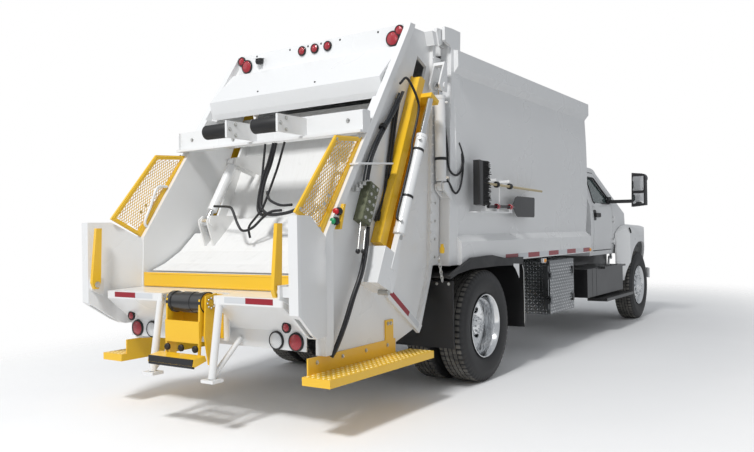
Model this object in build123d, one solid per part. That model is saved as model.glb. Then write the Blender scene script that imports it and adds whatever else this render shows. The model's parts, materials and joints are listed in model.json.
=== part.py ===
"""Rear-loading garbage truck. X right, Y forward, Z up, millimetres, tyres standing on Z = 0.

Every table below gives Y from the rear axle; SHIFT_Y moves the finished truck so that
its bounding box is centred on Y = 0.
"""
from build123d import *
from math import cos, radians, sin
import os

os.makedirs("parts", exist_ok=True)

# ---------------------------------------------------------------- driving dimensions
WHEELBASE = 5605
SHIFT_Y = -1880
TYRE_R = 527
TYRE_W = 279
RIM_R = 298
BEAD_R = 290
DUAL_OUT_X = 1066
DUAL_IN_X = 726
STEER_X = 1030
KINGPIN_X = 850
SPINDLE_R = 40
AXLE_END_R = 50
SHAFT_GAP = 0.05
AXLE_Z = TYRE_R

RAIL_OUT = 430
RAIL_T = 65
RAIL_Z0 = 780
RAIL_Z1 = 1030

FLOOR_Z = 1118
RAIL_HALF = 1156
BODY_TOP = 3070
BODY_WALL = 40

GATE_IN = 950
GATE_OUT = 980
HOOD_HALF = GATE_OUT - 1.5
HINGE_Y = -500
HINGE_Z = 3200
SWEEP_Y = -1430
SWEEP_Z = 1520
SWEEP_R = 841
SWEEP_PIN_R = 30
SWEEP_TOP = (600, -1500, 2090)
SWEEP_BARREL = 525
SWEEP_GAP = 44
SWEEP_EYE = (600, -1834, 1548)
FLOOR_GAP = 20
LIFT_X = 1072
LIFT_Y = -610
LIFT_Z = 1830
LIFT_PIN_R = 20
LIFT_LENGTH = 890
HINGE_PIN_R = 8
SLIDE_DEG = 65
SLIDE_Y = -1275
SLIDE_Z = 2060
PACK_X = 1148
PACK_N = -120
PACK_FOOT = -660
PACK_GLAND = 240
BUFFER_X = (-98, 452)
SEAT = 0.3
TOW_X = 375
TOW_T = 25
TOW_Y = 855
TOW_Z = 555
TOW_BORE_R = 24

CAB_BACK = WHEELBASE - 1885
CAB_GAP = 450
BODY_FRONT = CAB_BACK - CAB_GAP
TANK_REAR = CAB_BACK - 670
BOX_FRONT = TANK_REAR - 521
BOX_LENGTH = 803
CAB_FLOOR = 1050
CAB_WALL = 45
CAB_ROOF = 2335
CAB_BELT = 1740
PILLAR_TOP = (WHEELBASE - 1230, 2300)
PILLAR_BASE = (WHEELBASE - 420, CAB_BELT)
DOOR_FRONT = WHEELBASE - 855
DOOR_REAR = WHEELBASE - 1760
DOOR_GAP = 12
DOOR_PIN = (1030, DOOR_FRONT + 8)
HOOD_REAR = WHEELBASE - 225
HOOD_NOSE = WHEELBASE + 775
HOOD_WALL = 30
FENDER_X = 1190
ARCH_R = 690
SKIRT_Y = DOOR_FRONT + 65
HOOD_PIN = (WHEELBASE + 800, 930)
BOX_PIN = (1188, BOX_FRONT - BOX_LENGTH - 10)


# ---------------------------------------------------------------- helpers
def box(x0, x1, y0, y1, z0, z1):
    """Box between two corners."""
    return Pos((x0 + x1) / 2, (y0 + y1) / 2, (z0 + z1) / 2) * Box(x1 - x0, y1 - y0, z1 - z0)


def side_plate(points, x0, x1):
    """Plate whose outline is a list of (y, z), between two X."""
    wire = Polyline(*[(x0, y, z) for y, z in points], close=True)
    return extrude(make_face(wire), amount=x1 - x0, dir=(1, 0, 0))


def front_plate(points, y0, y1):
    """Plate whose outline is a list of (x, z), between two Y."""
    wire = Polyline(*[(x, y0, z) for x, z in points], close=True)
    return extrude(make_face(wire), amount=y1 - y0, dir=(0, 1, 0))


def edges_of(rows, place):
    """Edges through rows of (a, b), or (mid a, mid b, a, b) for an arc, put in space by `place`."""
    edges = []
    for before, row in zip(rows, rows[1:]):
        start = place(*before[-2:])
        end = place(*row[-2:])
        edges.append(Line(start, end) if len(row) == 2 else ThreePointArc(start, place(*row[:2]), end))
    return edges


def side_form(rows, x0, x1):
    """Like side_plate, with rows of (y, z) or (mid y, mid z, y, z)."""
    face = make_face(edges_of(rows + rows[:1], lambda y, z: (x0, y, z)))
    return extrude(face, amount=x1 - x0, dir=(1, 0, 0))


def plan_form(rows, z0, z1):
    """Like plan_plate, with rows of (x, y) or (mid x, mid y, x, y)."""
    face = make_face(edges_of(rows + rows[:1], lambda x, y: (x, y, z0)))
    return extrude(face, amount=z1 - z0, dir=(0, 0, 1))


def front_form(rows, y0, y1):
    """Like front_plate, with rows of (x, z) or (mid x, mid z, x, z)."""
    face = make_face(edges_of(rows + rows[:1], lambda x, z: (x, y0, z)))
    return extrude(face, amount=y1 - y0, dir=(0, 1, 0))


def even_form(rows, crown, y0, y1):
    """Form along Y whose right half is `rows`, low to high; the left mirrors it under an arched top."""
    right = edges_of(rows, lambda x, z: (x, y0, z))
    left = [edge.mirror(Plane.YZ) for edge in right]
    low, high = rows[0][-2:], rows[-1][-2:]
    base = Line((low[0], y0, low[1]), (-low[0], y0, low[1]))
    top = ThreePointArc((high[0], y0, high[1]), (0, y0, crown), (-high[0], y0, high[1]))
    return extrude(make_face(right + left + [base, top]), amount=y1 - y0, dir=(0, 1, 0))


def plan_plate(points, z0, z1):
    """Plate whose outline is a list of (x, y), between two Z."""
    wire = Polyline(*[(x, y, z0) for x, y in points], close=True)
    return extrude(make_face(wire), amount=z1 - z0, dir=(0, 0, 1))


def rod(a, b, r):
    """Round bar between two points."""
    start = Vector(*a)
    span = Vector(*b) - start
    plane = Plane(origin=start, z_dir=span)
    return plane * Cylinder(r, span.length, align=(Align.CENTER, Align.CENTER, Align.MIN))


def tube(a, b, r, bore):
    """Round tube between two points."""
    return rod(a, b, r) - rod(a, b, bore)


def turned(points, x):
    """Ring turned about the X direction from a list of (x offset, radius)."""
    wire = Polyline(*[(x + dx, 0, r) for dx, r in points], close=True)
    return revolve(make_face(wire), axis=Axis.X)


def mirrored(shape):
    """The same shape on the left side."""
    return mirror(shape, about=Plane.YZ)


def both(shape):
    """A right-hand shape and its left-hand twin."""
    return [shape, mirrored(shape)]


def slide_point(s, n):
    """(y, z) at s along the packing track and n across it, rearward positive."""
    c = cos(radians(SLIDE_DEG))
    k = sin(radians(SLIDE_DEG))
    return (SLIDE_Y + s * c - n * k, SLIDE_Z + s * k + n * c)


def slide_plate(rows, x0, x1):
    """Side plate whose outline is given in track coordinates (s, n)."""
    return side_plate([slide_point(s, n) for s, n in rows], x0, x1)


def arc_points(cy, cz, r, a0, a1, steps):
    """(y, z) points on an arc, angles in degrees from +Y towards +Z."""
    rows = []
    for i in range(steps + 1):
        a = radians(a0 + (a1 - a0) * i / steps)
        rows.append((cy + r * cos(a), cz + r * sin(a)))
    return rows


def save(name, *shapes):
    """Write one named piece."""
    solids = []
    for shape in shapes:
        items = shape if isinstance(shape, (list, ShapeList)) else [shape]
        for item in items:
            solids.extend(item.solids())
    whole = Compound(children=solids) if len(solids) > 1 else solids[0]
    export_step(Pos(0, SHIFT_Y, 0) * whole, os.path.join("parts", name + ".step"))


# ---------------------------------------------------------------- wheels
def tyre(x, y):
    """One tyre: tread, shoulders, bulging sidewalls and bead."""
    h = TYRE_W / 2
    rows = [(-h + 45, BEAD_R), (-h + 18, RIM_R + 22), (-h, 420), (-h + 22, 508), (-h + 42, TYRE_R),
            (h - 42, TYRE_R), (h - 22, 508), (h, 420), (h - 18, RIM_R + 22), (h - 45, BEAD_R)]
    return Pos(0, y, AXLE_Z) * turned(rows, x)


def rim(x, y, dish, bore):
    """One disc wheel: rolled rim and a disc set off by `dish` towards +X."""
    h = TYRE_W / 2
    seat = BEAD_R - 1
    rows = [(-h + 20, RIM_R), (-h + 34, RIM_R), (-h + 40, seat), (h - 40, seat), (h - 34, RIM_R),
            (h - 20, RIM_R), (h - 24, 268), (-h + 24, 268)]
    ring = turned(rows, x)
    disc = turned([(dish - 12, bore), (dish - 12, 190), (dish * 0.55 - 12, 270), (dish * 0.55 + 8, 270),
                   (dish + 12, 190), (dish + 12, bore)], x)
    holes = [Pos(x + dish * 0.8, 215 * cos(radians(36 * i)), 215 * sin(radians(36 * i)))
             * Rot(0, 90, 0) * Cylinder(22, 120) for i in range(10)]
    return Pos(0, y, AXLE_Z) * (ring + disc - holes)


def rear_wheels():
    """Twin rear wheels with their hubs, one body a side."""
    tyres = [tyre(DUAL_OUT_X, 0), tyre(DUAL_IN_X, 0)]
    outer = rim(DUAL_OUT_X, 0, -95, 110)
    inner = rim(DUAL_IN_X, 0, 95, 110)
    hub = turned([(-235, AXLE_END_R + SHAFT_GAP), (-235, 120), (-60, 120), (-60, 112), (60, 112), (60, 96),
                  (150, 90), (150, 0), (90, 0), (90, AXLE_END_R + SHAFT_GAP)], 960)
    hub = Pos(0, 0, AXLE_Z) * hub
    rims = outer + inner + hub
    save("tyres_rear_right", tyres)
    save("tyres_rear_left", [mirrored(t) for t in tyres])
    save("rims_rear_right", rims)
    save("rims_rear_left", mirrored(rims))


def front_wheels():
    """Single steered wheels with their hubs."""
    piece = tyre(STEER_X, WHEELBASE)
    hub = turned([(-98, SPINDLE_R + SHAFT_GAP), (-98, 105), (100, 105), (100, 80), (150, 74), (150, 0),
                  (110, 0), (110, SPINDLE_R + SHAFT_GAP)], STEER_X)
    wheel = rim(STEER_X, WHEELBASE, 90, 104) + Pos(0, WHEELBASE, AXLE_Z) * hub
    save("tyre_front_right", piece)
    save("tyre_front_left", mirrored(piece))
    save("rim_front_right", wheel)
    save("rim_front_left", mirrored(wheel))


def knuckles():
    """Steering knuckles: kingpin fork, spindle and brake plate."""
    y = WHEELBASE
    fork = None
    for z0, z1 in ((AXLE_Z - 170, AXLE_Z - 105), (AXLE_Z + 10, AXLE_Z + 70)):
        arm = rod((KINGPIN_X, y, z0), (KINGPIN_X, y, z1), 45)
        arm += box(KINGPIN_X, KINGPIN_X + 60, y - 45, y + 45, z0, z1)
        fork = arm if fork is None else fork + arm
    fork += box(KINGPIN_X + 50, KINGPIN_X + 75, y - 90, y + 90, AXLE_Z - 170, AXLE_Z + 90)
    fork += rod((KINGPIN_X, y, AXLE_Z - 170), (KINGPIN_X, y, AXLE_Z + 70), 22)
    spindle = rod((KINGPIN_X + 60, y, AXLE_Z), (STEER_X + 90, y, AXLE_Z), SPINDLE_R)
    whole = fork + spindle
    save("knuckle_right", whole)
    save("knuckle_left", mirrored(whole))


# ---------------------------------------------------------------- chassis
def chassis_frame():
    """Channel side rails with cross members and the body's sub-frame sills."""
    nose = WHEELBASE + 745
    rail = box(RAIL_OUT - RAIL_T, RAIL_OUT, -640, nose, RAIL_Z0, RAIL_Z1)
    rail -= box(RAIL_OUT - RAIL_T - 1, RAIL_OUT - 9, -861, nose + 1, RAIL_Z0 + 10, RAIL_Z1 - 10)
    frame = rail + mirrored(rail)
    for y in (-600, 900, BODY_FRONT - 1170, BODY_FRONT + 30, nose - 60):
        frame += box(-RAIL_OUT + 5, RAIL_OUT - 5, y - 30, y + 30, RAIL_Z0 + 30, RAIL_Z1 - 30)
    sill = box(RAIL_OUT - RAIL_T, RAIL_OUT, -480, BODY_FRONT - 70, RAIL_Z1 - 1, FLOOR_Z - SEAT)
    for y in (CAB_BACK + 80, CAB_BACK + 1130):
        sill += box(RAIL_OUT - RAIL_T, RAIL_OUT, y, y + 110, RAIL_Z1 - 1, CAB_FLOOR - SEAT)
    save("chassis_frame", frame + sill + mirrored(sill))


def running_gear():
    """Axles, springs, drive shaft and the engine as one plain block."""
    rear = rod((-930, 0, AXLE_Z), (930, 0, AXLE_Z), AXLE_END_R)
    rear += rod((-540, 0, AXLE_Z), (540, 0, AXLE_Z), 75)
    rear += Pos(0, 0, AXLE_Z) * Sphere(205)
    rear += rod((0, 100, AXLE_Z + 20), (0, 3920, 760), 50)
    for x0 in (450, -540):
        rear += side_plate([(-760, 760), (-740, 790), (0, 640), (740, 790), (760, 760), (60, 570),
                            (-60, 570)], x0, x0 + 90)
    for y in (-730, 730):
        shackle = box(RAIL_OUT + SEAT, 460, y - 40, y + 40, 765, 840)
        rear += shackle + mirrored(shackle)
    y = WHEELBASE
    front = box(-790, 790, y - 55, y + 55, AXLE_Z - 160, AXLE_Z - 60)
    eye = rod((KINGPIN_X, y, AXLE_Z - 100), (KINGPIN_X, y, AXLE_Z + 5), 44)
    eye += box(KINGPIN_X - 75, KINGPIN_X, y - 40, y + 40, AXLE_Z - 100, AXLE_Z - 61)
    eye -= rod((KINGPIN_X, y, 300), (KINGPIN_X, y, 700), 22 + SHAFT_GAP)
    front += eye + mirrored(eye)
    for x0 in (370, -450):
        front += side_plate([(y - 640, 740), (y - 620, RAIL_Z0 - SEAT), (y - 560, RAIL_Z0 - SEAT), (y, 560),
                             (y + 560, RAIL_Z0 - SEAT), (y + 620, RAIL_Z0 - SEAT), (y + 640, 740),
                             (y + 60, 450), (y - 60, 450)], x0, x0 + 80)
    engine = box(-330, 330, y - 200, y + 520, 800, 1430)
    engine += box(-RAIL_OUT + 9 + SEAT, RAIL_OUT - 9 - SEAT, y + 100, y + 200, 860, 940)
    gearbox = box(-210, 210, y - 1700, y - 199, 640, 1010)
    save("running_gear", rear + gearbox + engine, front)


def side_boxes():
    """Tank boxes and steps under the cab doors."""
    y0 = TANK_REAR
    y1 = DOOR_FRONT - 90
    tank = box(690, 1170, y0, y1, 530, 900)
    step = box(1000, 1270, y0 + 500, y1 + 210, 445, 485)
    step += box(1000, 1040, y0 + 560, y1, 484, 531)
    tread = box(1120, 1230, y0 + 560, y1 - 60, 880, 905)
    hangers = [box(RAIL_OUT, 700, y, y + 60, 800, 880) for y in (y0 + 300, y1 - 360)]
    save("side_boxes", both(tank + step + tread + hangers))


def hinge_leaf(x, y, z0, z1, deep, way):
    """One knuckle of an upright hinge with the strap that ties it to its panel."""
    leaf = rod((x, y, z0), (x, y, z1), HINGE_PIN_R + 6)
    leaf += box(x - 14, x, min(y, y + way * 44), max(y, y + way * 44), z0, z1)
    return leaf + box(x - deep, x, min(y + way * 24, y + way * 44), max(y + way * 24, y + way * 44), z0, z1)


def hinge_pair(x, y, z, deep, way):
    """Upright pin hinge: fixed leaf with its pin on the side `way`, and the leaf that turns."""
    fixed = rod((x, y, z - 40), (x, y, z + 40), HINGE_PIN_R)
    fixed += hinge_leaf(x, y, z - 45, z - 25, deep, way)
    fixed += hinge_leaf(x, y, z + 25, z + 45, deep, way)
    turning = hinge_leaf(x, y, z - 20, z + 20, deep, -way)
    return fixed, turning - rod((x, y, z - 60), (x, y, z + 60), HINGE_PIN_R + SHAFT_GAP)


def toolbox():
    """Tool box with an outward door; the box is open where the door closes it."""
    y0, y1 = BOX_FRONT - BOX_LENGTH, BOX_FRONT
    z0, z1, x0, x1 = 453, 1072, 700, 1170
    shell = box(x0, x1 - 30, y0, y1, z0, z1) - box(x0 + 15, x1, y0 + 15, y1 - 15, z0 + 15, z1 - 15)
    shell += box(RAIL_OUT, x0 + 5, y0 + 100, y0 + 160, 860, 960)
    shell += box(RAIL_OUT, x0 + 5, y1 - 160, y1 - 100, 860, 960)
    y = BOX_PIN[1]
    shell += box(x1 - 60, x1 - 1, y - 44, y - 24, z0 + 60, z1 - 60)
    shell += box(x1 - 60, x1 - 31, y - 26, y0 + 1, z0 + 60, z1 - 60)
    door = box(x1 - 24, x1, y0, y1, z0 + 4, z1 - 4)
    door -= box(x1 - 25, x1 - 12, y0 + 40, y1 - 40, z0 + 40, z1 - 40)
    for z in (z0 + 170, z1 - 170):
        door += box(x1 - 1, x1 + 12, y1 - 90, y1 - 40, z - 40, z + 40)
        fixed, turning = hinge_pair(*BOX_PIN, z, 28, -1)
        shell += fixed
        door += turning
    save("toolbox", shell)
    save("toolbox_door", door)


def fenders_and_flaps():
    """Moulded rear fenders and the flaps before and behind the wheels."""
    rows = [(-700, 1030), (-560, 1062), (-300, 1092), (300, 1092), (640, 1085), (895, 1085)]
    low = [(y, z - 12) for y, z in reversed(rows)]
    sheet = side_plate(rows + low, 590, RAIL_HALF + 9)
    lip_top = [(-705, 1035), (-520, 1100), (-260, 1180), (150, 1190), (450, 1150), (900, 1145), (900, 1070)]
    lip_low = [(640, 1068), (300, 1078), (-300, 1078), (-560, 1048), (-700, 1010)]
    lip = side_plate(lip_top + lip_low, RAIL_HALF + 8, RAIL_HALF + 44)
    skirt = box(620, RAIL_HALF + 44, 880, 896, 1000, 1090)
    hangers = [box(RAIL_OUT + SEAT, 600, y, y + 40, 1062, 1081) for y in (-200, 160)]
    save("rear_fenders", both(sheet + lip + skirt + hangers))
    rear = box(600, RAIL_HALF + 44, -665, -650, 400, 990)
    rear += box(RAIL_OUT, RAIL_HALF + 24, -651, -625, 940, 990)
    front = box(640, RAIL_HALF + 44, 896 + SEAT, 907, 410, 1066)
    save("mudflaps", both(rear), both(front))


# ---------------------------------------------------------------- body
def body_form():
    """Load body from floor to roof: low rail, bowed side, top rail, arched roof."""
    side_z0, side_z1 = 1395, BODY_TOP - 210
    rows = [(RAIL_HALF, FLOOR_Z), (RAIL_HALF, side_z0 - 67), (RAIL_HALF - 66, side_z0),
            (RAIL_HALF - 37, (side_z0 + side_z1) / 2, RAIL_HALF - 56, side_z1),
            (RAIL_HALF - 1, BODY_TOP - 143), (RAIL_HALF - 1, BODY_TOP), (RAIL_HALF - 106, BODY_TOP + 25)]
    return even_form(rows, BODY_TOP + 45, -400, BODY_FRONT)


def body_hollow():
    """Room inside the load body, open behind."""
    side_z0, side_z1 = 1395, BODY_TOP - 210
    x = RAIL_HALF - BODY_WALL
    rows = [(x - 66, FLOOR_Z + 45), (x - 66, side_z0), (x - 37, (side_z0 + side_z1) / 2, x - 56, side_z1),
            (x - 56, BODY_TOP - 20)]
    return even_form(rows, BODY_TOP + 5, -401, BODY_FRONT - 50)


def body_shell():
    """Hollow load body, open at the rear, with its rear frame and tool brackets."""
    shell = body_form() - body_hollow()
    post = side_plate([(-430, 3270), (-560, FLOOR_Z), (-399, FLOOR_Z), (-260, 3270)], 1000, 1110)
    ear_a = side_plate([(-420, 3270), (-560, 3260), (-560, 3140), (-425, 3090)], 1000, 1030)
    ear_b = side_plate([(-420, 3270), (-560, 3260), (-560, 3140), (-425, 3090)], 1082, 1110)
    pin = rod((1000, HINGE_Y, HINGE_Z), (1110, HINGE_Y, HINGE_Z), 24)
    lug = [(-500, 1860), (-600, 1862), (-640, 1850), (-645, 1800), (-610, 1780), (-500, 1700)]
    foot = side_plate(lug, 1025, 1043) + side_plate(lug, 1101, 1119)
    foot += box(1026, 1118, -545, -500, 1720, 1800)
    foot += rod((1025, LIFT_Y, LIFT_Z), (1119, LIFT_Y, LIFT_Z), LIFT_PIN_R)
    side = post + ear_a + ear_b + pin + foot
    lintel = box(-1001, 1001, -420, -270, 3040, 3180)
    threshold = box(-1001, 1001, -540, -399, FLOOR_Z, FLOOR_Z + 40)
    whole = shell + side + mirrored(side) + lintel + threshold
    x = RAIL_HALF
    for y in (210, 520):
        whole += box(x - 56, x + 69, y, y + 60, 1610, 1930) - box(x - 36, x + 70, y - 1, y + 61, 1640, 1905)
    whole += box(x - 56, x + 69, -130, 585, 1598, 1612)
    save("body_shell", whole)


def broom_shovel():
    """Street broom and shovel carried on the right side."""
    x = RAIL_HALF + 49
    broom = box(x - 20, x + 55, -215, -150, 1655, 2080) + box(x - 15, x + 45, -151, 40, 1612 + SEAT, 2075)
    broom += rod((x, 30, 1878), (x, 1430, 1850), 14)
    shovel = side_plate([(610, 1690), (700, 1760), (760, 1775), (1230, 1775), (1240, 1560), (740, 1560),
                         (690, 1640)], x - 10, x)
    shovel += rod((x, 60, 1655 + SEAT), (x, 700, 1655 + SEAT), 15)
    save("broom_shovel", broom, shovel)


# ---------------------------------------------------------------- cab
def cab_solid(inset):
    """Closed cab form, drawn in by `inset`: side view and front view crossed."""
    back = CAB_BACK + inset
    roof = CAB_ROOF - inset
    front = HOOD_REAR - 5 - inset
    rows = [(back, CAB_FLOOR + inset), (back, 2150), (back + 20, roof - 60, back + 90, roof - 12),
            (back + 300, roof, PILLAR_TOP[0] - 120 - inset / 2, roof - 4),
            (PILLAR_TOP[0] - 30 - inset / 2, roof - 14, PILLAR_TOP[0] + 40 - inset,
             PILLAR_TOP[1] - 30 - inset / 2),
            (PILLAR_BASE[0] - inset / 2, PILLAR_BASE[1] - inset), (front, 1660 - inset), (front, 1400),
            (WHEELBASE - 560 - inset, CAB_FLOOR + inset)]
    side = side_form(rows, -1100, 1100)
    rows = [(985 - inset, CAB_FLOOR + inset), (1014 - inset, 1400, 1000 - inset, CAB_BELT),
            (855 - inset, 2240 - inset), (828 - inset, 2305 - inset, 770 - inset, CAB_ROOF - 12 - inset)]
    return side & even_form(rows, CAB_ROOF + 6 - inset, CAB_BACK - 100, WHEELBASE + 100)


def door_prism(gap, x0, x1):
    """Door outline, grown or shrunk by `gap`."""
    rows = [(DOOR_REAR - gap, CAB_FLOOR + 60 - gap), (DOOR_REAR - gap, 2170 + gap),
            (DOOR_REAR + 50, 2240 + gap), (PILLAR_TOP[0] - 70, 2240 + gap),
            (DOOR_FRONT + gap, 1905 + gap), (DOOR_FRONT + gap, CAB_FLOOR + 60 - gap)]
    return side_plate(rows, x0, x1)


def window_prism(inset, x0, x1):
    """Door window outline, drawn in by `inset`."""
    rows = [(DOOR_REAR + 70 + inset, 1790 + inset), (DOOR_REAR + 82 + inset, 2165 - inset),
            (PILLAR_TOP[0] - 115 - inset, 2165 - inset), (DOOR_FRONT - 75 - inset, 1880 - inset),
            (DOOR_FRONT - 75 - inset, 1790 + inset)]
    return side_plate(rows, x0, x1)


def screen_prism(inset):
    """Windscreen outline (x, z)."""
    rows = [(-880 + inset, 1800 + inset), (-745 + inset, 2230 - inset), (745 - inset, 2230 - inset),
            (880 - inset, 1800 + inset)]
    return front_plate(rows, PILLAR_TOP[0] - 20, WHEELBASE + 100)


def back_prism(inset):
    """Rear window outline (x, z)."""
    rows = [(-620 + inset, 1790 + inset), (-560 + inset, 2180 - inset), (560 - inset, 2180 - inset),
            (620 - inset, 1790 + inset)]
    return front_plate(rows, CAB_BACK - 100, CAB_BACK + 90)


def cab_and_doors():
    """Cab shell, doors, fixed glass and door glass, all cut from one set of forms."""
    shell = cab_solid(0) - cab_solid(CAB_WALL)
    skin = cab_solid(18) - cab_solid(26)
    cab = shell - door_prism(0, 700, 1100) - door_prism(0, -1100, -700) - screen_prism(0) - back_prism(0)
    door = (shell & door_prism(-DOOR_GAP, 700, 1100)) - window_prism(0, 700, 1100)
    door += box(985, 1035, DOOR_REAR + 60, DOOR_REAR + 250, 1590, 1630)
    for z in (1230, 1560):
        fixed, turning = hinge_pair(*DOOR_PIN, z, 45, 1)
        cab += fixed + mirrored(fixed)
        door += turning
    glass = skin & window_prism(-10, 700, 1100)
    door -= glass
    fixed = (skin & screen_prism(-10)) + (skin & back_prism(-10))
    cab -= fixed
    save("cab_shell", cab)
    save("cab_glass", fixed)
    save("door_right", door)
    save("door_left", mirrored(door))
    save("door_glass_right", glass)
    save("door_glass_left", mirrored(glass))
    f = DOOR_FRONT
    rows = [(930, f - 90), (930, f - 14), (1004, f - 14), (1310, f + 62), (1310, f + 22), (1010, f - 60)]
    arms = plan_plate(rows, 1800, 1850)
    arms += side_plate([(f - 190, 1800), (f - 12, 1800), (f - 12, 1895), (f - 70, 1895)], 930, 1000)
    rows = [(1300, 1740), (1500, 1760), (1500, 2120), (1495, 2200, 1440, 2225), (1310, 2240)]
    head = front_form(rows, f - 30, f + 90)
    unit = arms + head - cab_solid(0)
    unit = Compound(children=[s for s in unit.solids() if s.bounding_box().max.X > 1200])
    save("mirror_right", unit)
    save("mirror_left", mirrored(unit))


def cab_interior():
    """Seats, dashboard, steering wheel and its column."""
    f = WHEELBASE
    seats = []
    for x in (-480, 420):
        seat = box(x - 260, x + 260, f - 1640, f - 1120, 1300, 1440)
        seat += side_plate([(f - 1700, 1430), (f - 1560, 1430), (f - 1640, 2050), (f - 1740, 2050)],
                           x - 250, x + 250)
        seat += box(x - 180, x + 180, f - 1600, f - 1200, CAB_FLOOR + CAB_WALL + SEAT, 1301)
        seats.append(seat)
    y = HOOD_REAR - 5 - CAB_WALL - SEAT
    dash = side_plate([(f - 640, 1400), (f - 760, 1480), (f - 740, 1600), (f - 600, 1640), (f - 470, 1640),
                       (y, 1590), (y, 1410)], -900, 900)
    column = rod((-480, f - 700, 1500), (-480, f - 900, 1620), 30)
    wheel = Plane(origin=(-480, f - 905, 1623), z_dir=(0, -200, 120)) * Torus(205, 16)
    spokes = Plane(origin=(-480, f - 905, 1623), z_dir=(0, -200, 120)) * Box(410, 40, 16)
    save("cab_interior", seats, dash + column + wheel + spokes)


def hood_form(inset):
    """Centre of the hood, drawn in by `inset`: side, front and plan views crossed."""
    f = WHEELBASE
    nose = HOOD_NOSE - inset
    side = [(HOOD_REAR - 1, 1040), (HOOD_REAR - 1, 1660 - inset),
            (f + 260, 1632 - inset, f + 620, 1520 - inset),
            (nose - 25, 1455 - inset, nose, 1330), (nose, 1040)]
    front = [(700 - inset, 1000), (700 - inset, 1480),
             (683 - inset, 1585 - inset, 560 - inset, 1640 - inset)]
    plan = [(-700 + inset, HOOD_REAR - 2), (-600 + inset, f + 640), (-520 + inset, nose + 1),
            (520 - inset, nose + 1), (600 - inset, f + 640), (700 - inset, HOOD_REAR - 2)]
    form = side_form(side, -720, 720) & even_form(front, 1668 - inset, HOOD_REAR, nose)
    return form & plan_form(plan, 900, 1700)


def fender_form(inset, inner, rear):
    """Right front fender, drawn in by `inset`, from X `inner`; ahead of `rear` it reaches the hood."""
    f = WHEELBASE
    x = FENDER_X - inset
    nose = f + 760 - inset
    side = [(SKIRT_Y, 930), (SKIRT_Y, 1340 - inset), (f - 520, 1452 - inset, HOOD_REAR, 1490 - inset),
            (f + 150, 1510 - inset, f + 470, 1430 - inset), (f + 700 - inset, 1310 - inset, nose, 1080),
            (nose, 840), (f + 560, 840), (f - 685, 640), (SKIRT_Y + 40, 640)]
    front = [(inner, 500), (x, 500), (x, 1290), (x - 35, 1415 - inset, x - 150, 1470 - inset),
             (inner, 1525 - inset)]
    plan = [(inner, rear), (1020, rear), (1020, SKIRT_Y - 1), (1045, SKIRT_Y - 1), (x, SKIRT_Y + 215),
            (x, f - 150), (x - 25, f + 330, x - 170, f + 690), (x - 280, nose + 1), (inner, nose + 1)]
    form = side_form(side, inner, 1300) & front_form(front, SKIRT_Y - 2, nose + 2)
    return form & plan_form(plan, 400, 1700)


def hood():
    """Forward-tilting hood with both front fenders, grille and lamps."""
    f = WHEELBASE
    hollow = hood_form(HOOD_WALL)
    fender = fender_form(0, 640, HOOD_REAR)
    room = fender_form(35, 665, HOOD_REAR + 30) & box(600, 1300, HOOD_REAR + 30, f + 800, 400, 1700)
    arch = rod((599, f, AXLE_Z), (1300, f, AXLE_Z), ARCH_R)
    fender = fender - room - arch
    body = hood_form(0) + fender + mirrored(fender)
    body -= hollow
    body -= box(-631, 631, f - 300, HOOD_NOSE - 34, 900, 1290)
    body -= box(-420, 420, f + 700, f + 800, 1050, 1400)
    lamp_hole = box(640, 960, f + 600, f + 800, 1100, 1240)
    body = body - lamp_hole - mirrored(lamp_hole)
    y, z = HOOD_PIN
    rows = [(f + 745, 1060), (f + 774, 1060), (y + 28, z + 10), (y, z - 30), (y - 28, z)]
    lug = side_plate(rows, 470, 500)
    lug -= rod((460, y, z), (510, y, z), 14 + SHAFT_GAP)
    body += lug + mirrored(lug)
    save("hood", body)
    grille = box(-420 + SEAT, 420 - SEAT, f + 742, f + 772, 1050 + SEAT, 1400 - SEAT)
    for i in range(5):
        grille -= box(-400, 400, f + 735, f + 780, 1075 + 66 * i, 1105 + 66 * i)
    save("grille", grille)
    lamp = box(640 + SEAT, 960 - SEAT, f + 690, f + 735, 1100 + SEAT, 1240 - SEAT)
    save("headlamps", both(lamp))


def front_bumper():
    """Front bumper with its brackets."""
    f = WHEELBASE
    rows = [(-1150, f + 700), (-1080, f + 860), (-700, f + 925), (700, f + 925), (1080, f + 860),
            (1150, f + 700), (1120, f + 690), (1055, f + 835), (690, f + 895), (-690, f + 895),
            (-1055, f + 835), (-1120, f + 690)]
    bar = plan_plate(rows, 600, 760)
    for x0, x1 in ((-RAIL_OUT, -RAIL_OUT + 60), (RAIL_OUT - 60, RAIL_OUT)):
        bar += box(x0, x1, f + 700, f + 900, 640, 740)
        bar += box(x0, x1, f + 680, f + 745, 640, RAIL_Z0 - SEAT)
    y, z = HOOD_PIN
    ear = side_plate([(f + 700, 700), (f + 780, 700), (y + 28, z), (y, z + 28), (y - 28, z)], 440, 460)
    ear += box(400, 460, f + 702, f + 744, 690, RAIL_Z0 - SEAT) + rod((440, y, z), (505, y, z), 14)
    eye = side_plate([(f + 820, 640), (f + 800, 540), (f + 830, 505), (f + 880, 505), (f + 905, 540),
                      (f + 905, 640)], TOW_X, TOW_X + TOW_T)
    eye -= rod((TOW_X - 5, f + TOW_Y, TOW_Z), (TOW_X + TOW_T + 5, f + TOW_Y, TOW_Z), TOW_BORE_R)
    bar += ear + mirrored(ear) + eye + mirrored(eye)
    save("front_bumper", bar)


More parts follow.
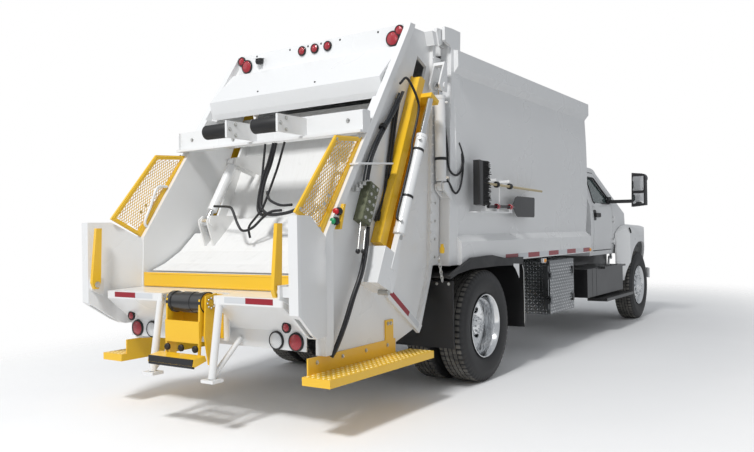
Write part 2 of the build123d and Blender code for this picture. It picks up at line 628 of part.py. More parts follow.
# ---------------------------------------------------------------- tailgate
def gate_side():
    """Right side wall of the tailgate with its frame tubes, track slot and wing."""
    outline = [(-580, 3188), (-1017, 3188), (-1019, 3004), (-1098, 2984), (-1335, 2748), (-1335, 2518),
               (-1486, 2518), (-2235, 1420), (-2262, 560), (-1350, 500), (-900, 620), (-730, 1000),
               (-690, 1120)]
    wall = side_plate(outline, GATE_IN, GATE_OUT)
    slot = slide_plate([(-700, -25), (1010, -25), (1010, -195), (-700, -195)], GATE_IN - 1, GATE_OUT + 1)
    wall -= slot
    rear = side_plate([(-1030, 3200), (-1055, 3150), (-2235, 1420), (-2262, 560), (-2170, 560),
                       (-2148, 1440), (-970, 3160), (-950, 3200)], GATE_OUT - 1, 1040)
    front = side_plate([(-560, 3110), (-690, 1120), (-730, 1000), (-900, 620), (-940, 640), (-775, 1010),
                        (-735, 1130), (-610, 3110)], GATE_OUT - 1, 1014)
    rail = side_plate([(-1410, 1010), (-880, 620), (-930, 560), (-1410, 900)], GATE_OUT - 1, 1010)
    flange = side_plate([(-578, 3000), (-700, 1130), (-574, 1130), (-461, 3000)], 992, 1010)
    ear = side_plate([(-640, 3210), (HINGE_Y, 3254), (HINGE_Y, 3146), (-600, 3080)], 1037, 1075)
    ear += rod((1037, HINGE_Y, HINGE_Z), (1075, HINGE_Y, HINGE_Z), 54)
    ear += side_plate([(-700, 3200), (-610, 3200), (-600, 3090), (-660, 3080)], GATE_OUT - 1, 1060)
    ear -= rod((990, HINGE_Y, HINGE_Z), (1120, HINGE_Y, HINGE_Z), 24 + SHAFT_GAP)
    return wall + rear + front + rail + flange + ear


def lift_fork():
    """Plates that take the lift rod's eye."""
    rows = [(-560, 2935), (-602, 2935), (-645, 2850), (-705, 2720), (-670, 2668), (-570, 2668),
            (-560, 2780)]
    inner = side_plate(rows, 1015, 1030)
    outer = side_plate(rows, 1112, 1127)
    bridge = side_plate([(-560, 2935), (-602, 2935), (-618, 2905), (-562, 2895)], GATE_OUT + 30, 1127)
    bosses = rod((1003, LIFT_Y, LIFT_Z + LIFT_LENGTH), (1016, LIFT_Y, LIFT_Z + LIFT_LENGTH), 30)
    bosses += rod((1126, LIFT_Y, LIFT_Z + LIFT_LENGTH), (1137, LIFT_Y, LIFT_Z + LIFT_LENGTH), 30)
    return inner + outer + bridge + bosses


def wing():
    """Flared rear extension of the side wall, closed below by a sloped foot."""
    rows = [(GATE_IN, -2200), (GATE_IN + 10, -2240), (1080, -2690), (1160, -2690), (1160, -2660),
            (1040, -2240), (1040, -2200)]
    block = plan_plate(rows, 700, 1560)
    hollow = plan_plate([(GATE_IN + 40, -2260), (1095, -2660), (1130, -2650), (1020, -2260)], 715, 1545)
    trim = side_plate([(-2699, 699), (-2699, 900), (-2480, 740), (-2400, 699)], 900, 1200)
    top = side_plate([(-2699, 1549), (-2500, 1549), (-2199, 1380), (-2150, 1380), (-2150, 1600),
                      (-2699, 1600)], 900, 1200)
    return block - hollow - trim - top


def hopper():
    """Curved hopper floor between the side walls, sill box, bumper and lamp panel."""
    r = SWEEP_R + FLOOR_GAP
    inner = arc_points(SWEEP_Y, SWEEP_Z, r, 207.5, 331, 20)
    outer = arc_points(SWEEP_Y, SWEEP_Z, r + 12, 331, 207.5, 20)
    floor = side_plate(inner + outer, -GATE_IN - 1, GATE_IN + 1)
    top = side_plate([(-2205, 1000), (-2600, 990), (-2600, 930), (-2370, 732), (-2370, 600), (-2358, 600),
                      (-2358, 737), (-2588, 936), (-2588, 979), (-2205, 988)], -GATE_IN - 1, GATE_IN + 1)
    bar = box(-GATE_IN - 1, GATE_IN + 1, -2215, -2190, 985, 1118)
    cross = box(-1038, 1038, -1740, -1670, 2195, 2375)
    cross += box(-1038, 1038, -1790, -1739, 2195, 2215)
    beam = box(-GATE_IN - 1, GATE_IN + 1, -740, -690, 1040, 1105)
    top -= box(-285, 285, -2700, -2440, 600, 1100)
    plate = box(-284, 284, -2452, -2440, 640, 1000)
    return floor + top + bar + plate + cross + beam


def buffer_arms():
    """Arms that carry two rubber buffers behind the cross beam."""
    arms = None
    for x in BUFFER_X:
        arm = box(x, x + 20, -2090, -1739, 2220, 2360)
        arms = arm if arms is None else arms + arm
    return arms


def latch_lug():
    """Lug and pin that carry a latch arm on the wing."""
    lug = side_plate([(-2710, 1090), (-2600, 1090), (-2600, 950), (-2710, 1000)], 1000, 1018)
    lug += rod((955, -2690, 1045), (1018, -2690, 1045), 15)
    return lug + box(1010, 1090, -2680, -2640, 1010, 1080)


def legs():
    """Guard legs of the cart lifter with feet and braces."""
    post = rod((320, -2575, 960), (322, -2665, 400), 28)
    foot = box(262, 382, -2715, -2610, 378, 400)
    brace = rod((322, -2660, 410), (330, -2380, 660), 20)
    return post + foot + brace


def pack_bracket():
    """Foot of the packing cylinder on the side wall."""
    end = PACK_FOOT - SEAT
    rows = [(end - 300, PACK_N + 28), (end, PACK_N + 22), (end, PACK_N - 25), (end - 300, PACK_N - 25)]
    arm = slide_plate(rows, PACK_X - 25, PACK_X + 25)
    foot = slide_plate([(-1130, 40), (-830, 40), (-830, -190), (-1130, -190)], GATE_OUT - 1, PACK_X + 20)
    return arm + foot


def tailgate():
    """Welded tailgate: walls, floor, beams, wings, hinge ears and guard legs."""
    side = gate_side() + lift_fork() + wing() + pack_bracket() + latch_lug()
    leg = legs()
    whole = hopper() + side + mirrored(side) + leg + mirrored(leg) + buffer_arms()
    save("tailgate", whole)


def tailgate_hood():
    """Lamp cowl and top cover."""
    rows = [(-580, 3201), (-1030, 3201), (-1030, 3020), (-1110, 3000), (-1427, 2690), (-1402, 2575),
            (-1385, 2525), (-1340, 2540), (-1385, 2590), (-1408, 2688), (-1100, 2985), (-1020, 3005),
            (-1018, 3189), (-580, 3189)]
    save("tailgate_hood", side_plate(rows, -HOOD_HALF, HOOD_HALF))


def yellow_trim():
    """Sill edge, mesh guards and both riding steps."""
    sill = box(-GATE_IN + 2, GATE_IN - 2, -2240, -2215.5, 1004, 1121)
    outline = [(-1728.8, 2163), (-2056, 2146), (-2530, 1577), (-2230.8, 1427)]
    inner = [(-1775, 2125), (-2040, 2108), (-2475, 1585), (-2262, 1475)]
    guard = side_plate(outline, 990, 1010) - side_plate(inner, 989, 1011)
    x = GATE_OUT + SEAT
    step = box(x, 1225, -2455, -1060, 385, 443)
    step -= box(x + 10, 1215, -2445, -1070, 384, 437)
    step += box(x, x + 12, -2400, -1280, 430, 560)
    step += box(x, x + 12, -1420, -1310, 555, 720)
    save("yellow_trim", sill, both(guard), both(step))


def tail_lamps():
    """Round lamps on the cowl and the lamp panel, with the reflective strips."""
    items = []
    for x, y, z, r in [(929, -1030.3, 3150, 40), (860, -1030.3, 3090, 60), (152, -1030.3, 3139, 40),
                       (0, -1030.3, 3139, 40)]:
        lamp = rod((x, y, z), (x, y - 22, z), r)
        items += [lamp] if x == 0 else both(lamp)
    for x, y, z, r in [(866, -2370.3, 664, 60), (681, -2370.3, 664, 60)]:
        items += both(rod((x, y, z), (x, y - 24, z), r))
    items += both(box(393, 858, -2603, -2600.3, 945, 985))
    save("tail_lamps", items)


def control_valve():
    """Valve block, levers and rubber buffers."""
    block = slide_plate([(-715, 275), (-390, 275), (-390, 155), (-715, 155)], GATE_OUT + SEAT, 1060)
    save("control_valve", block)
    buffers = [rod((x - 289, -2025, 2290), (x - SEAT, -2025, 2290), 62) for x in BUFFER_X]
    save("rubber_buffers", buffers)


def carriage():
    """Packing carriage: sloped panel, cheeks, hinge pin, lugs through the slots and the track beams."""
    panel = slide_plate([(-480, -130), (600, -130), (600, -160), (-480, -160)], -886, 886)
    cheek = slide_plate([(-640, -60), (-560, -30), (600, -60), (600, -200), (-600, -200), (-640, -150)],
                        860, 886)
    top = slide_plate([(480, -60), (600, -60), (600, -200), (480, -200)], -870, 870)
    low_lug = slide_plate([(-640, -50), (-500, -50), (-500, -170), (-640, -170)], 885, GATE_OUT + 14.7)
    high_lug = slide_plate([(400, -50), (590, -50), (590, -170), (400, -170)], 885, GATE_OUT + 14.7)
    sides = cheek + low_lug + high_lug
    frame = panel + top + sides + mirrored(sides)
    frame += rod((-884, SWEEP_Y, SWEEP_Z), (884, SWEEP_Y, SWEEP_Z), SWEEP_PIN_R)
    x, y, z = SWEEP_TOP
    bracket = side_plate([(y - 45, z - 20), (y - 30, z + 40), (y + 430, z + 110), (y + 330, z - 115),
                          (y + 60, z - 45)], 0, 12)
    for side in (1, -1):
        for dx in (-SWEEP_GAP - 18, SWEEP_GAP + 6):
            frame += Pos(side * x + dx, 0, 0) * bracket
        frame += rod((side * x - SWEEP_GAP - 17, y, z), (side * x + SWEEP_GAP + 17, y, z), SWEEP_PIN_R - 8)
    save("carriage", frame)
    web = slide_plate([(-780, 0), (780, 0), (780, -110), (640, -220), (-780, -220)], GATE_OUT + 5,
                      GATE_OUT + 16)
    web -= slide_plate([(-640.5, -49.5), (-499.5, -49.5), (-499.5, -170.5), (-640.5, -170.5)], 900, 1100)
    web -= slide_plate([(399.5, -49.5), (590.5, -49.5), (590.5, -170.5), (399.5, -170.5)], 900, 1100)
    rear = slide_plate([(-780, 0), (760, 0), (780, -30), (780, -90), (-780, -90)], GATE_OUT + 15, 1075)
    front = slide_plate([(-780, -205), (620, -205), (620, -220), (-780, -220)], GATE_OUT + 15, 1095)
    cap = slide_plate([(600, -80), (640, -80), (640, -215), (600, -215)], GATE_OUT + 15, PACK_X + 30)
    save("carriage_beams", both(web + rear + front + cap))


def barrel_tube(a, b, r, bore, stem_r):
    """Cylinder barrel with a closed foot and a gland that fits its rod."""
    start = Vector(*a)
    end = Vector(*b)
    d = (end - start).normalized()
    body = rod(a, b, r) - rod(tuple(start + d * 40), tuple(end - d * 40), bore)
    return body - rod(tuple(start + d * 41), tuple(end + d * 5), stem_r + SHAFT_GAP)


def pack_cylinders():
    """Packing cylinders: barrels on the tailgate, rods on the carriage."""
    points = [Vector(PACK_X, *slide_point(s, PACK_N))
              for s in (PACK_FOOT, PACK_GLAND, 600 - SEAT, PACK_FOOT + 60)]
    barrel = barrel_tube(tuple(points[0]), tuple(points[1]), 46, 38, 28)
    save("pack_barrels", both(barrel))
    save("pack_rods", both(rod(tuple(points[3]), tuple(points[2]), 28)))


def sweep_panel():
    """Curved sweep blade hung from the carriage, with ears for its cylinders."""
    face = [(-1455, 1572), (-1560, 1572), (-1680, 1448), (-1857, 1290), (-2028, 1190), (-2172, 1134)]
    back = [(-2162, 1118), (-1950, 1135), (-1750, 1205), (-1580, 1325), (-1480, 1455)]
    blade = side_plate(face + back, -858, 858)
    blade += side_plate([(-1680, 1447)] + face[3:] + back[:3], -925, 925)
    hub = rod((-856, SWEEP_Y, SWEEP_Z), (856, SWEEP_Y, SWEEP_Z), 58)
    ear = side_plate([(-1500, 1600), (-1835, 1600), (-1885, 1560), (-1880, 1520), (-1800, 1300),
                      (-1500, 1400)], 0, 16)
    panel = blade + hub
    x, y, z = SWEEP_EYE
    for side in (1, -1):
        for dx in (-60, 44):
            panel += Pos(side * x + dx, 0, 0) * ear
        panel += rod((side * x - 72, y, z), (side * x - 30 - SEAT, y, z), 36)
        panel += rod((side * x + 30 + SEAT, y, z), (side * x + 72, y, z), 36)
        slot = side_plate([(-1380, 1470), (-1380, 1600), (-1640, 1600), (-1640, 1535), (-1560, 1535),
                           (-1500, 1470)], side * x - SWEEP_GAP, side * x + SWEEP_GAP)
        panel -= slot
    panel -= rod((-930, SWEEP_Y, SWEEP_Z), (930, SWEEP_Y, SWEEP_Z), SWEEP_PIN_R + SHAFT_GAP)
    save("sweep_panel", panel)


def sweep_cylinders():
    """Sweep cylinders between the carriage's brackets and the blade's ears."""
    x, y, z = SWEEP_TOP
    a = Vector(x, y, z)
    b = Vector(*SWEEP_EYE)
    d = (b - a).normalized()
    pin_r = SWEEP_PIN_R - 8
    barrel = barrel_tube(tuple(a + d * 45), tuple(a + d * SWEEP_BARREL), 43, 35, 24)
    barrel += rod((x - 34, y, z), (x + 34, y, z), 42)
    barrel -= rod((x - 60, y, z), (x + 60, y, z), pin_r + SHAFT_GAP)
    save("sweep_barrels", both(barrel))
    stem = rod(tuple(a + d * 90), tuple(b - d * 20), 24)
    save("sweep_rods", both(stem + rod((x - 30, b.Y, b.Z), (x + 30, b.Y, b.Z), 38)))


def lift_cylinders():
    """Tailgate lift cylinders, barrels on the body posts."""
    x, y, z = LIFT_X, LIFT_Y, LIFT_Z
    barrel = barrel_tube((x, y, z + 43), (x, y, z + 805), 49, 40, 27)
    eye = tube((x - 22, y, z), (x + 22, y, z), 44, LIFT_PIN_R + SHAFT_GAP)
    barrel -= rod((x - 30, y, z), (x + 30, y, z), 40)
    save("lift_barrels", both(barrel + eye))
    stem = rod((x, y, z + 200), (x, y, z + 870), 27)
    stem += rod((x - 30, y, z + LIFT_LENGTH), (x + 30, y, z + LIFT_LENGTH), 42)
    save("lift_rods", both(stem))


def cart_lifter():
    """Cart lifter: fixed frame with rotary drive and the turning face plate."""
    plate = side_plate([(-2500, 1000), (-2610, 985), (-2625, 700), (-2590, 480), (-2540, 480),
                        (-2520, 700)], 200, 214)
    drive = rod((-214, -2560, 930), (214, -2560, 930), 20)
    frame = plate + mirrored(plate) + drive
    frame += box(-230, 230, -2464, -2452 - SEAT, 660, 990)
    tie = box(200, 214, -2520, -2460, 680, 980)
    frame += tie + mirrored(tie)
    save("lifter_frame", frame)
    drum = tube((-185, -2560, 930), (185, -2560, 930), 72, 20 + SHAFT_GAP)
    arm = side_plate([(-2560, 990), (-2640, 960), (-2655, 560), (-2640, 540), (-2620, 760), (-2575, 860)],
                     168, 184)
    face = box(-184, 184, -2655, -2640, 640, 800)
    bar = side_plate([(-2655, 560), (-2760, 545), (-2770, 500), (-2750, 490), (-2640, 520)], -245, 245)
    whole = drum + arm + mirrored(arm) + face + bar
    whole -= rod((-300, -2560, 930), (300, -2560, 930), 20 + SHAFT_GAP)
    save("lifter_arm", whole)


def latch_arms():
    """Container latch arms at the wings."""
    arm = side_plate([(-2640, 1500), (-2690, 1500), (-2735, 1060), (-2715, 1010), (-2675, 1010),
                      (-2655, 1060)], 960, 990)
    arm -= rod((900, -2690, 1045), (1100, -2690, 1045), 15 + SHAFT_GAP)
    save("latch_right", arm)
    save("latch_left", mirrored(arm))


rear_wheels()
front_wheels()
knuckles()
chassis_frame()
running_gear()
side_boxes()
toolbox()
fenders_and_flaps()
body_shell()
broom_shovel()
cab_and_doors()
cab_interior()
hood()
front_bumper()
tailgate()
tailgate_hood()
yellow_trim()
tail_lamps()
control_valve()
carriage()
pack_cylinders()
sweep_panel()
sweep_cylinders()
lift_cylinders()
cart_lifter()
latch_arms()
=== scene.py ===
"""Rear-loading garbage truck: paints, wheels, hoses, guards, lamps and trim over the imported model.

X right, Y forward, Z up, metres. Tables give Y from the rear axle; AXLE_Y is where that axle stands,
FRONT is the front axle's place in the tables, and HUB_Z is the height of all the hubs.
"""
import json
import math

import bmesh
import bpy
import numpy as np
from mathutils import Matrix, Vector


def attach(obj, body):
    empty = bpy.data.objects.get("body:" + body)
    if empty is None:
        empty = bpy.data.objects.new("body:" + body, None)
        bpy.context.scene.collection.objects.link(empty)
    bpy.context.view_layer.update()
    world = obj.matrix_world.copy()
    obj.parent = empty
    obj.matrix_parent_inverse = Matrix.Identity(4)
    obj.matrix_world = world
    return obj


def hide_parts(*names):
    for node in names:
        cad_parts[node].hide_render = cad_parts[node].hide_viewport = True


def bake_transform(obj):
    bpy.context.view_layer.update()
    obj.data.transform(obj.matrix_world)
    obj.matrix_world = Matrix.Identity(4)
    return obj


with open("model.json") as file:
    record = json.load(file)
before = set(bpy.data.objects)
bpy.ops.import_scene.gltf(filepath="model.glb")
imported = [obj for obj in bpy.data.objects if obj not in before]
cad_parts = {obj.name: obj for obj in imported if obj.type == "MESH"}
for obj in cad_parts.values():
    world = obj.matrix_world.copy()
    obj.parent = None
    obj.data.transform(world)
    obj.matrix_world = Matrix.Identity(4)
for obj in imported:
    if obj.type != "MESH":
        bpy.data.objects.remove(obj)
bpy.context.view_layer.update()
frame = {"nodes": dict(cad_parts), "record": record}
AXLE_Y = -1.88
FRONT = 5.605
HUB_Z = .527
BOX_SIDES = np.array([[0, 1, 5, 4], [1, 2, 6, 5], [2, 3, 7, 6], [3, 0, 4, 7]])
CLOSED_BOX = np.concatenate([BOX_SIDES, [[4, 5, 6, 7]]])
RIB_WAVE = 420.0


# ---- finishes
class Finish:
    """A finish being mixed: its nodes, its shader, and the coordinates fixed to the piece."""

    def __init__(self, name, rough, metal=0.0):
        self.material = bpy.data.materials.new(name)
        self.material.use_nodes = True
        tree = self.material.node_tree
        self.nodes, self.links = tree.nodes, tree.links
        self.shader = self.nodes["Principled BSDF"]
        self.shader.inputs["Metallic"].default_value = metal
        self.shader.inputs["Roughness"].default_value = rough
        self.place = self.nodes.new("ShaderNodeTexCoord").outputs["Object"]

    def node(self, kind, inputs=(), **settings):
        """One node with its settings and inputs; an input is a value or another node's output."""
        made = self.nodes.new(kind)
        for key, value in settings.items():
            setattr(made, key, value)
        for key, value in dict(inputs).items():
            if isinstance(value, bpy.types.NodeSocket):
                self.links.new(value, made.inputs[key])
            else:
                made.inputs[key].default_value = value
        return made

    def cloud(self, scale, detail=4.0, stretch=(1, 1, 1)):
        """Soft random cloud from 0 to 1."""
        at = self.node("ShaderNodeMapping", {"Vector": self.place, "Scale": stretch}).outputs[0]
        return self.node("ShaderNodeTexNoise", {"Vector": at, "Scale": scale,
                                                "Detail": detail}).outputs["Fac"]

    def ramp(self, value, *stops):
        """Value mapped through (position, colour) stops."""
        made = self.node("ShaderNodeValToRGB", {"Fac": value})
        points = made.color_ramp.elements
        while len(points) < len(stops):
            points.new(.5)
        for point, (where, colour) in zip(points, stops):
            point.position = where
            point.color = (*colour, 1.0) if len(colour) == 3 else colour
        return made.outputs["Color"]

    def grey(self, value, low, high, start=.3, end=.7):
        """Value mapped from start..end to low..high as a number."""
        return self.node("ShaderNodeMapRange", {"Value": value, "From Min": start, "From Max": end,
                                                "To Min": low, "To Max": high}).outputs["Result"]

    def blend(self, share, a, b):
        """Colour a to b by share."""
        made = self.node("ShaderNodeMix", data_type="RGBA")
        for slot, value in ((0, share), (6, a), (7, b)):
            if isinstance(value, bpy.types.NodeSocket):
                self.links.new(value, made.inputs[slot])
            else:
                made.inputs[slot].default_value = (*value, 1.0) if isinstance(value, tuple) else value
        return made.outputs[2]

    def number(self, operation, *values):
        """A sum on numbers, such as MULTIPLY or SINE."""
        return self.node("ShaderNodeMath", enumerate(values), operation=operation).outputs[0]

    def vector(self, operation, *values):
        """A sum on vectors, such as SUBTRACT or MULTIPLY."""
        return self.node("ShaderNodeVectorMath", enumerate(values), operation=operation).outputs[0]

    def length(self, vector):
        """Length of a vector."""
        return self.node("ShaderNodeVectorMath", {0: vector}, operation="LENGTH").outputs["Value"]

    def split(self, vector):
        """X, Y and Z of a vector."""
        return self.node("ShaderNodeSeparateXYZ", {"Vector": vector}).outputs

    def colour(self, socket):
        self.links.new(socket, self.shader.inputs["Base Color"])

    def rough(self, socket):
        self.links.new(socket, self.shader.inputs["Roughness"])

    def relief(self, height, strength, distance):
        """Height turned into fine relief."""
        bump = self.node("ShaderNodeBump", {"Height": height, "Strength": strength, "Distance": distance})
        self.links.new(bump.outputs["Normal"], self.shader.inputs["Normal"])

    def set(self, **sockets):
        for key, value in sockets.items():
            self.shader.inputs[key.replace("_", " ")].default_value = value
        return self.material


def enamel(name, colour, shade, rough=.28, orange_peel=.05, dust=0.0):
    """Sprayed enamel: faint cloudiness, orange peel, and dust that dulls it low down."""
    mix = Finish(name, rough)
    broad = mix.cloud(1.3, 3.0)
    fine = mix.cloud(26.0, 5.0)
    base = mix.blend(mix.grey(broad, 0.0, .5), colour, shade)
    base = mix.blend(mix.grey(fine, 0.0, .02 + dust * .1, .4, .7), base, tuple(c * .85 for c in shade))
    if dust:
        low = mix.grey(mix.split(mix.place)["Z"], .55 * dust, 0.0, .2, 1.1)
        base = mix.blend(low, base, (.36, .33, .28))
    mix.colour(base)
    mix.rough(mix.grey(broad, rough - .03, rough + .07))
    mix.relief(mix.cloud(420.0, 2.0), orange_peel, .002)
    return mix.set(Coat_Weight=.35, Coat_Roughness=.12)


def worn_enamel(name, colour, shade):
    """Enamel of the hopper: long rubbed streaks along the sweep and grey scuffs."""
    mix = Finish(name, .42)
    streak = mix.cloud(6.0, 6.0, (9.0, .8, 1.0))
    scuff = mix.cloud(11.0, 8.0)
    base = mix.blend(mix.grey(streak, 0.0, .35, .45, .75), colour, shade)
    base = mix.blend(mix.grey(scuff, 0.0, .22, .56, .74), base, tuple(c * .75 for c in shade))
    mix.colour(base)
    mix.rough(mix.grey(scuff, .34, .6))
    mix.relief(scuff, .12, .003)
    return mix.set(Coat_Weight=.1)


def dusted(mix, dust, colour):
    """Rubber's colour, paler where the dust cloud is thick."""
    pale = tuple(c * 1.5 + .004 for c in colour)
    return mix.blend(mix.grey(dust, 0.0, .35, .45, .8), colour, pale)


def moulded(name, colour, rough=.6, grain=260.0, lift=.16, metal=0.0):
    """Moulded rubber or polymer: fine grain, dusty high spots."""
    mix = Finish(name, rough, metal)
    dust = mix.cloud(5.0, 6.0)
    mix.colour(dusted(mix, dust, colour))
    mix.rough(mix.grey(dust, rough - .06, rough + .14))
    mix.relief(mix.cloud(grain, 3.0), lift, .002)
    return mix.set()


def dusty_tyre(name, colour, dust_colour):
    """Tyre rubber: fine grain, and road dust on the tread blocks, found by the distance from the axles."""
    mix = Finish(name, .62)
    reach = []
    for axle in (AXLE_Y, FRONT + AXLE_Y):
        apart = mix.vector("SUBTRACT", mix.place, (0.0, axle, HUB_Z))
        reach.append(mix.length(mix.vector("MULTIPLY", apart, (0.0, 1.0, 1.0))))
    nearest = mix.number("MINIMUM", *reach)
    worn = mix.grey(nearest, 0.0, 1.0, .5175, .5245)
    patchy = mix.grey(mix.cloud(9.0, 6.0), .35, .95, .35, .65)
    share = mix.number("MULTIPLY", worn, patchy)
    cloudy = dusted(mix, mix.cloud(5.0, 6.0), colour)
    mix.colour(mix.blend(share, cloudy, dust_colour))
    mix.rough(mix.grey(share, .58, .85, 0.0, 1.0))
    mix.relief(mix.cloud(180.0, 3.0), .16, .002)
    return mix.set()


def bare_metal(name, colour, rough, grain=(1, 1, 1), metal=1.0):
    """Bare or plated metal: drawn grain that breaks the gloss."""
    mix = Finish(name, rough, metal)
    line = mix.cloud(90.0, 6.0, grain)
    cloud = mix.cloud(4.0, 4.0)
    mix.colour(mix.blend(mix.grey(line, 0.0, .4), colour, tuple(c * .72 for c in colour)))
    mix.rough(mix.grey(cloud, rough * .7, rough * 1.5))
    mix.relief(line, .06, .001)
    return mix.set()


def lens(name, colour, clear=0.0):
    """Lamp lens with fine crossed ribs, with painted glints: the rib crests are painted paler than the lens.
    """
    mix = Finish(name, .12)
    across, _, up = mix.split(mix.place)
    ribs = [mix.number("SINE", mix.number("MULTIPLY", axis, RIB_WAVE)) for axis in (across, up)]
    both = mix.number("MULTIPLY", *ribs)
    # painted highlight: a paler copy of the lens colour on the rib crests stands in for glints of light
    painted_rib_glints = tuple(min(1, c * 1.9 + .03) for c in colour)
    mix.colour(mix.blend(mix.grey(both, 0.0, 1.0, -.6, .9), colour, painted_rib_glints))
    mix.relief(both, .35, .004)
    return mix.set(Transmission_Weight=clear, Coat_Weight=.6, IOR=1.46)


def pane(name, colour):
    """Tinted safety glass with a film of dust."""
    mix = Finish(name, .04)
    film = mix.cloud(3.0, 4.0)
    mix.colour(mix.blend(mix.grey(film, 0.0, .3), colour, tuple(c * .85 for c in colour)))
    mix.rough(mix.grey(film, .02, .1))
    return mix.set(Transmission_Weight=.82, IOR=1.45)


def grained(name, light, dark, rough=.45):
    """Wood or cane: long grain."""
    mix = Finish(name, rough)
    mix.colour(mix.blend(mix.grey(mix.cloud(30.0, 6.0, (1, .06, 1)), 0.0, 1.0), light, dark))
    mix.relief(mix.cloud(60.0, 4.0, (1, .1, 1)), .15, .002)
    return mix.set(Coat_Weight=.2)


WHITE = enamel("white_enamel", (.82, .825, .825), (.79, .795, .795))
WHITE_LOW = enamel("white_enamel_lower", (.82, .825, .825), (.79, .795, .79), dust=.1)
HOPPER = worn_enamel("hopper_enamel", (.83, .83, .82), (.74, .735, .71))
YELLOW = enamel("yellow_enamel", (.9, .545, .022), (.84, .49, .018), rough=.33)
BLACK = enamel("black_enamel", (.012, .012, .013), (.022, .022, .022), rough=.34)
CHASSIS = enamel("chassis_enamel", (.013, .013, .014), (.022, .022, .022), rough=.42, dust=.08)
TYRE = dusty_tyre("tyre_rubber", (.017, .017, .018), (.21, .2, .18))
RUBBER = moulded("black_rubber", (.012, .012, .013), .5)
HOSE = moulded("hose_rubber", (.01, .01, .012), .38, 500.0, .3)
GREY_HOSE = moulded("worn_hose_rubber", (.055, .06, .068), .34, 500.0, .3)
POLY = moulded("black_polymer", (.014, .014, .015), .42, 300.0)
TRIM = moulded("cab_trim", (.11, .11, .115), .75, 200.0, .3)
POLISHED = bare_metal("polished_alloy", (.86, .87, .88), .16)
TREAD_PLATE = bare_metal("tread_plate", (.72, .73, .74), .2)
TREAD_BASE = bare_metal("tread_plate_ground", (.3, .31, .32), .3)
ROD = bare_metal("hard_chrome", (.8, .81, .82), .1, (1, 1, 12))
ZINC = bare_metal("zinc_plate", (.62, .62, .6), .34)
OLIVE = moulded("valve_olive", (.13, .14, .085), .5, 160.0, .3, .2)
GLASS = pane("cab_glass", (.22, .27, .27))
RED = lens("red_lens", (.26, .003, .012))
CLEAR = lens("clear_lens", (.8, .82, .83), clear=.25)
AMBER = lens("amber_lens", (.85, .25, .01))
TAPE_RED = enamel("red_tape", (.32, .008, .02), (.24, .006, .016), rough=.3)
TAPE_WHITE = enamel("silver_tape", (.66, .68, .7), (.56, .58, .6), rough=.3)
CANE = grained("broom_handle", (.62, .53, .33), (.4, .31, .15))
BRISTLE = moulded("black_bristle", (.008, .008, .008), .7, 900.0, .5)
MIRROR = bare_metal("mirror_glass", (.9, .9, .9), .02)
RED_PLASTIC = moulded("red_plastic", (.55, .01, .02), .3)
GREEN_PLASTIC = moulded("green_plastic", (.01, .3, .12), .3)
YELLOW_WORN = enamel("yellow_enamel_rubbed", (.95, .72, .22), (.8, .62, .25), rough=.4)

FINISH_OF_SLOT = {
    "white_paint": WHITE, "yellow_paint": YELLOW, "black_paint": BLACK, "chassis_black": CHASSIS,
    "polished_alloy": POLISHED, "tread_plate": TREAD_BASE, "tyre_rubber": TYRE, "rubber": RUBBER,
    "black_poly": POLY, "chrome_rod": ROD, "glass": GLASS, "lamp_red": RED, "lamp_clear": CLEAR,
    "hopper_steel": HOPPER, "valve_metal": OLIVE, "cab_trim": TRIM, "broom_handle": CANE,
}
FINISH_OF_NODE = {"tailgate": WHITE_LOW, "grille": BLACK, "side_boxes": BLACK}
slot_of_node = {row["node"]: row["material_slot"] for row in frame["record"]["subparts"]}
for node_name, node_object in frame["nodes"].items():
    chosen = FINISH_OF_NODE.get(node_name) or FINISH_OF_SLOT[slot_of_node[node_name]]
    for material_slot in node_object.material_slots:
        material_slot.material = chosen
    if not node_object.material_slots:
        node_object.data.materials.append(chosen)


# ---- surfaces
def at_axle(points):
    """Table points, Y counted from the rear axle, moved to the truck's own origin."""
    moved = np.array(points, float).reshape(-1, 3)
    moved[:, 1] += AXLE_Y
    return moved


def spot(x, y, z):
    """One table point, moved to the truck's own origin."""
    return at_axle([(x, y, z)])[0]


def grid_faces(rows, cols, wrap_rows=False, wrap_cols=False):
    """Quads of a rows x cols grid of points, joined round where asked."""
    i = np.arange(rows if wrap_rows else rows - 1)[:, None]
    j = np.arange(cols if wrap_cols else cols - 1)[None, :]
    a = i * cols + j
    b = i * cols + (j + 1) % cols
    c = ((i + 1) % rows) * cols + (j + 1) % cols
    d = ((i + 1) % rows) * cols + j
    return np.stack([a, b, c, d], axis=-1).reshape(-1, 4).tolist()


def join(*shapes):
    """Several (points, faces) as one."""
    points, faces, start = [], [], 0
    for shape_points, shape_faces in shapes:
        points.append(shape_points)
        faces += [[i + start for i in face] for face in shape_faces]
        start += len(shape_points)
    return np.concatenate(points), faces


def copies(shape, moves):
    """The same shape at each offset (x, y, z)."""
    return join(*[(shape[0] + np.array(move), shape[1]) for move in moves])


def flip_side(shape):
    """The left-hand twin: X changes sign and each face runs the other way."""
    points, faces = shape
    return points * np.array([-1, 1, 1]), [face[::-1] for face in faces]


def twin(shape):
    """The shape and its left-hand twin."""
    return join(shape, flip_side(shape))


def move(shape, x, y, z):
    """The shape moved by (x, y, z)."""
    return shape[0] + np.array([x, y, z]), shape[1]


def placed(shape):
    """A shape drawn with Y from the rear axle, moved to the truck's origin."""
    return move(shape, 0, AXLE_Y, 0)


def boxes_of(corners, quads):
    """Faces for eight-cornered blocks, one to a row of `corners`."""
    base = (np.arange(len(corners)) * 8)[:, None, None]
    return corners.reshape(-1, 3), (quads[None] + base).reshape(-1, 4).tolist()


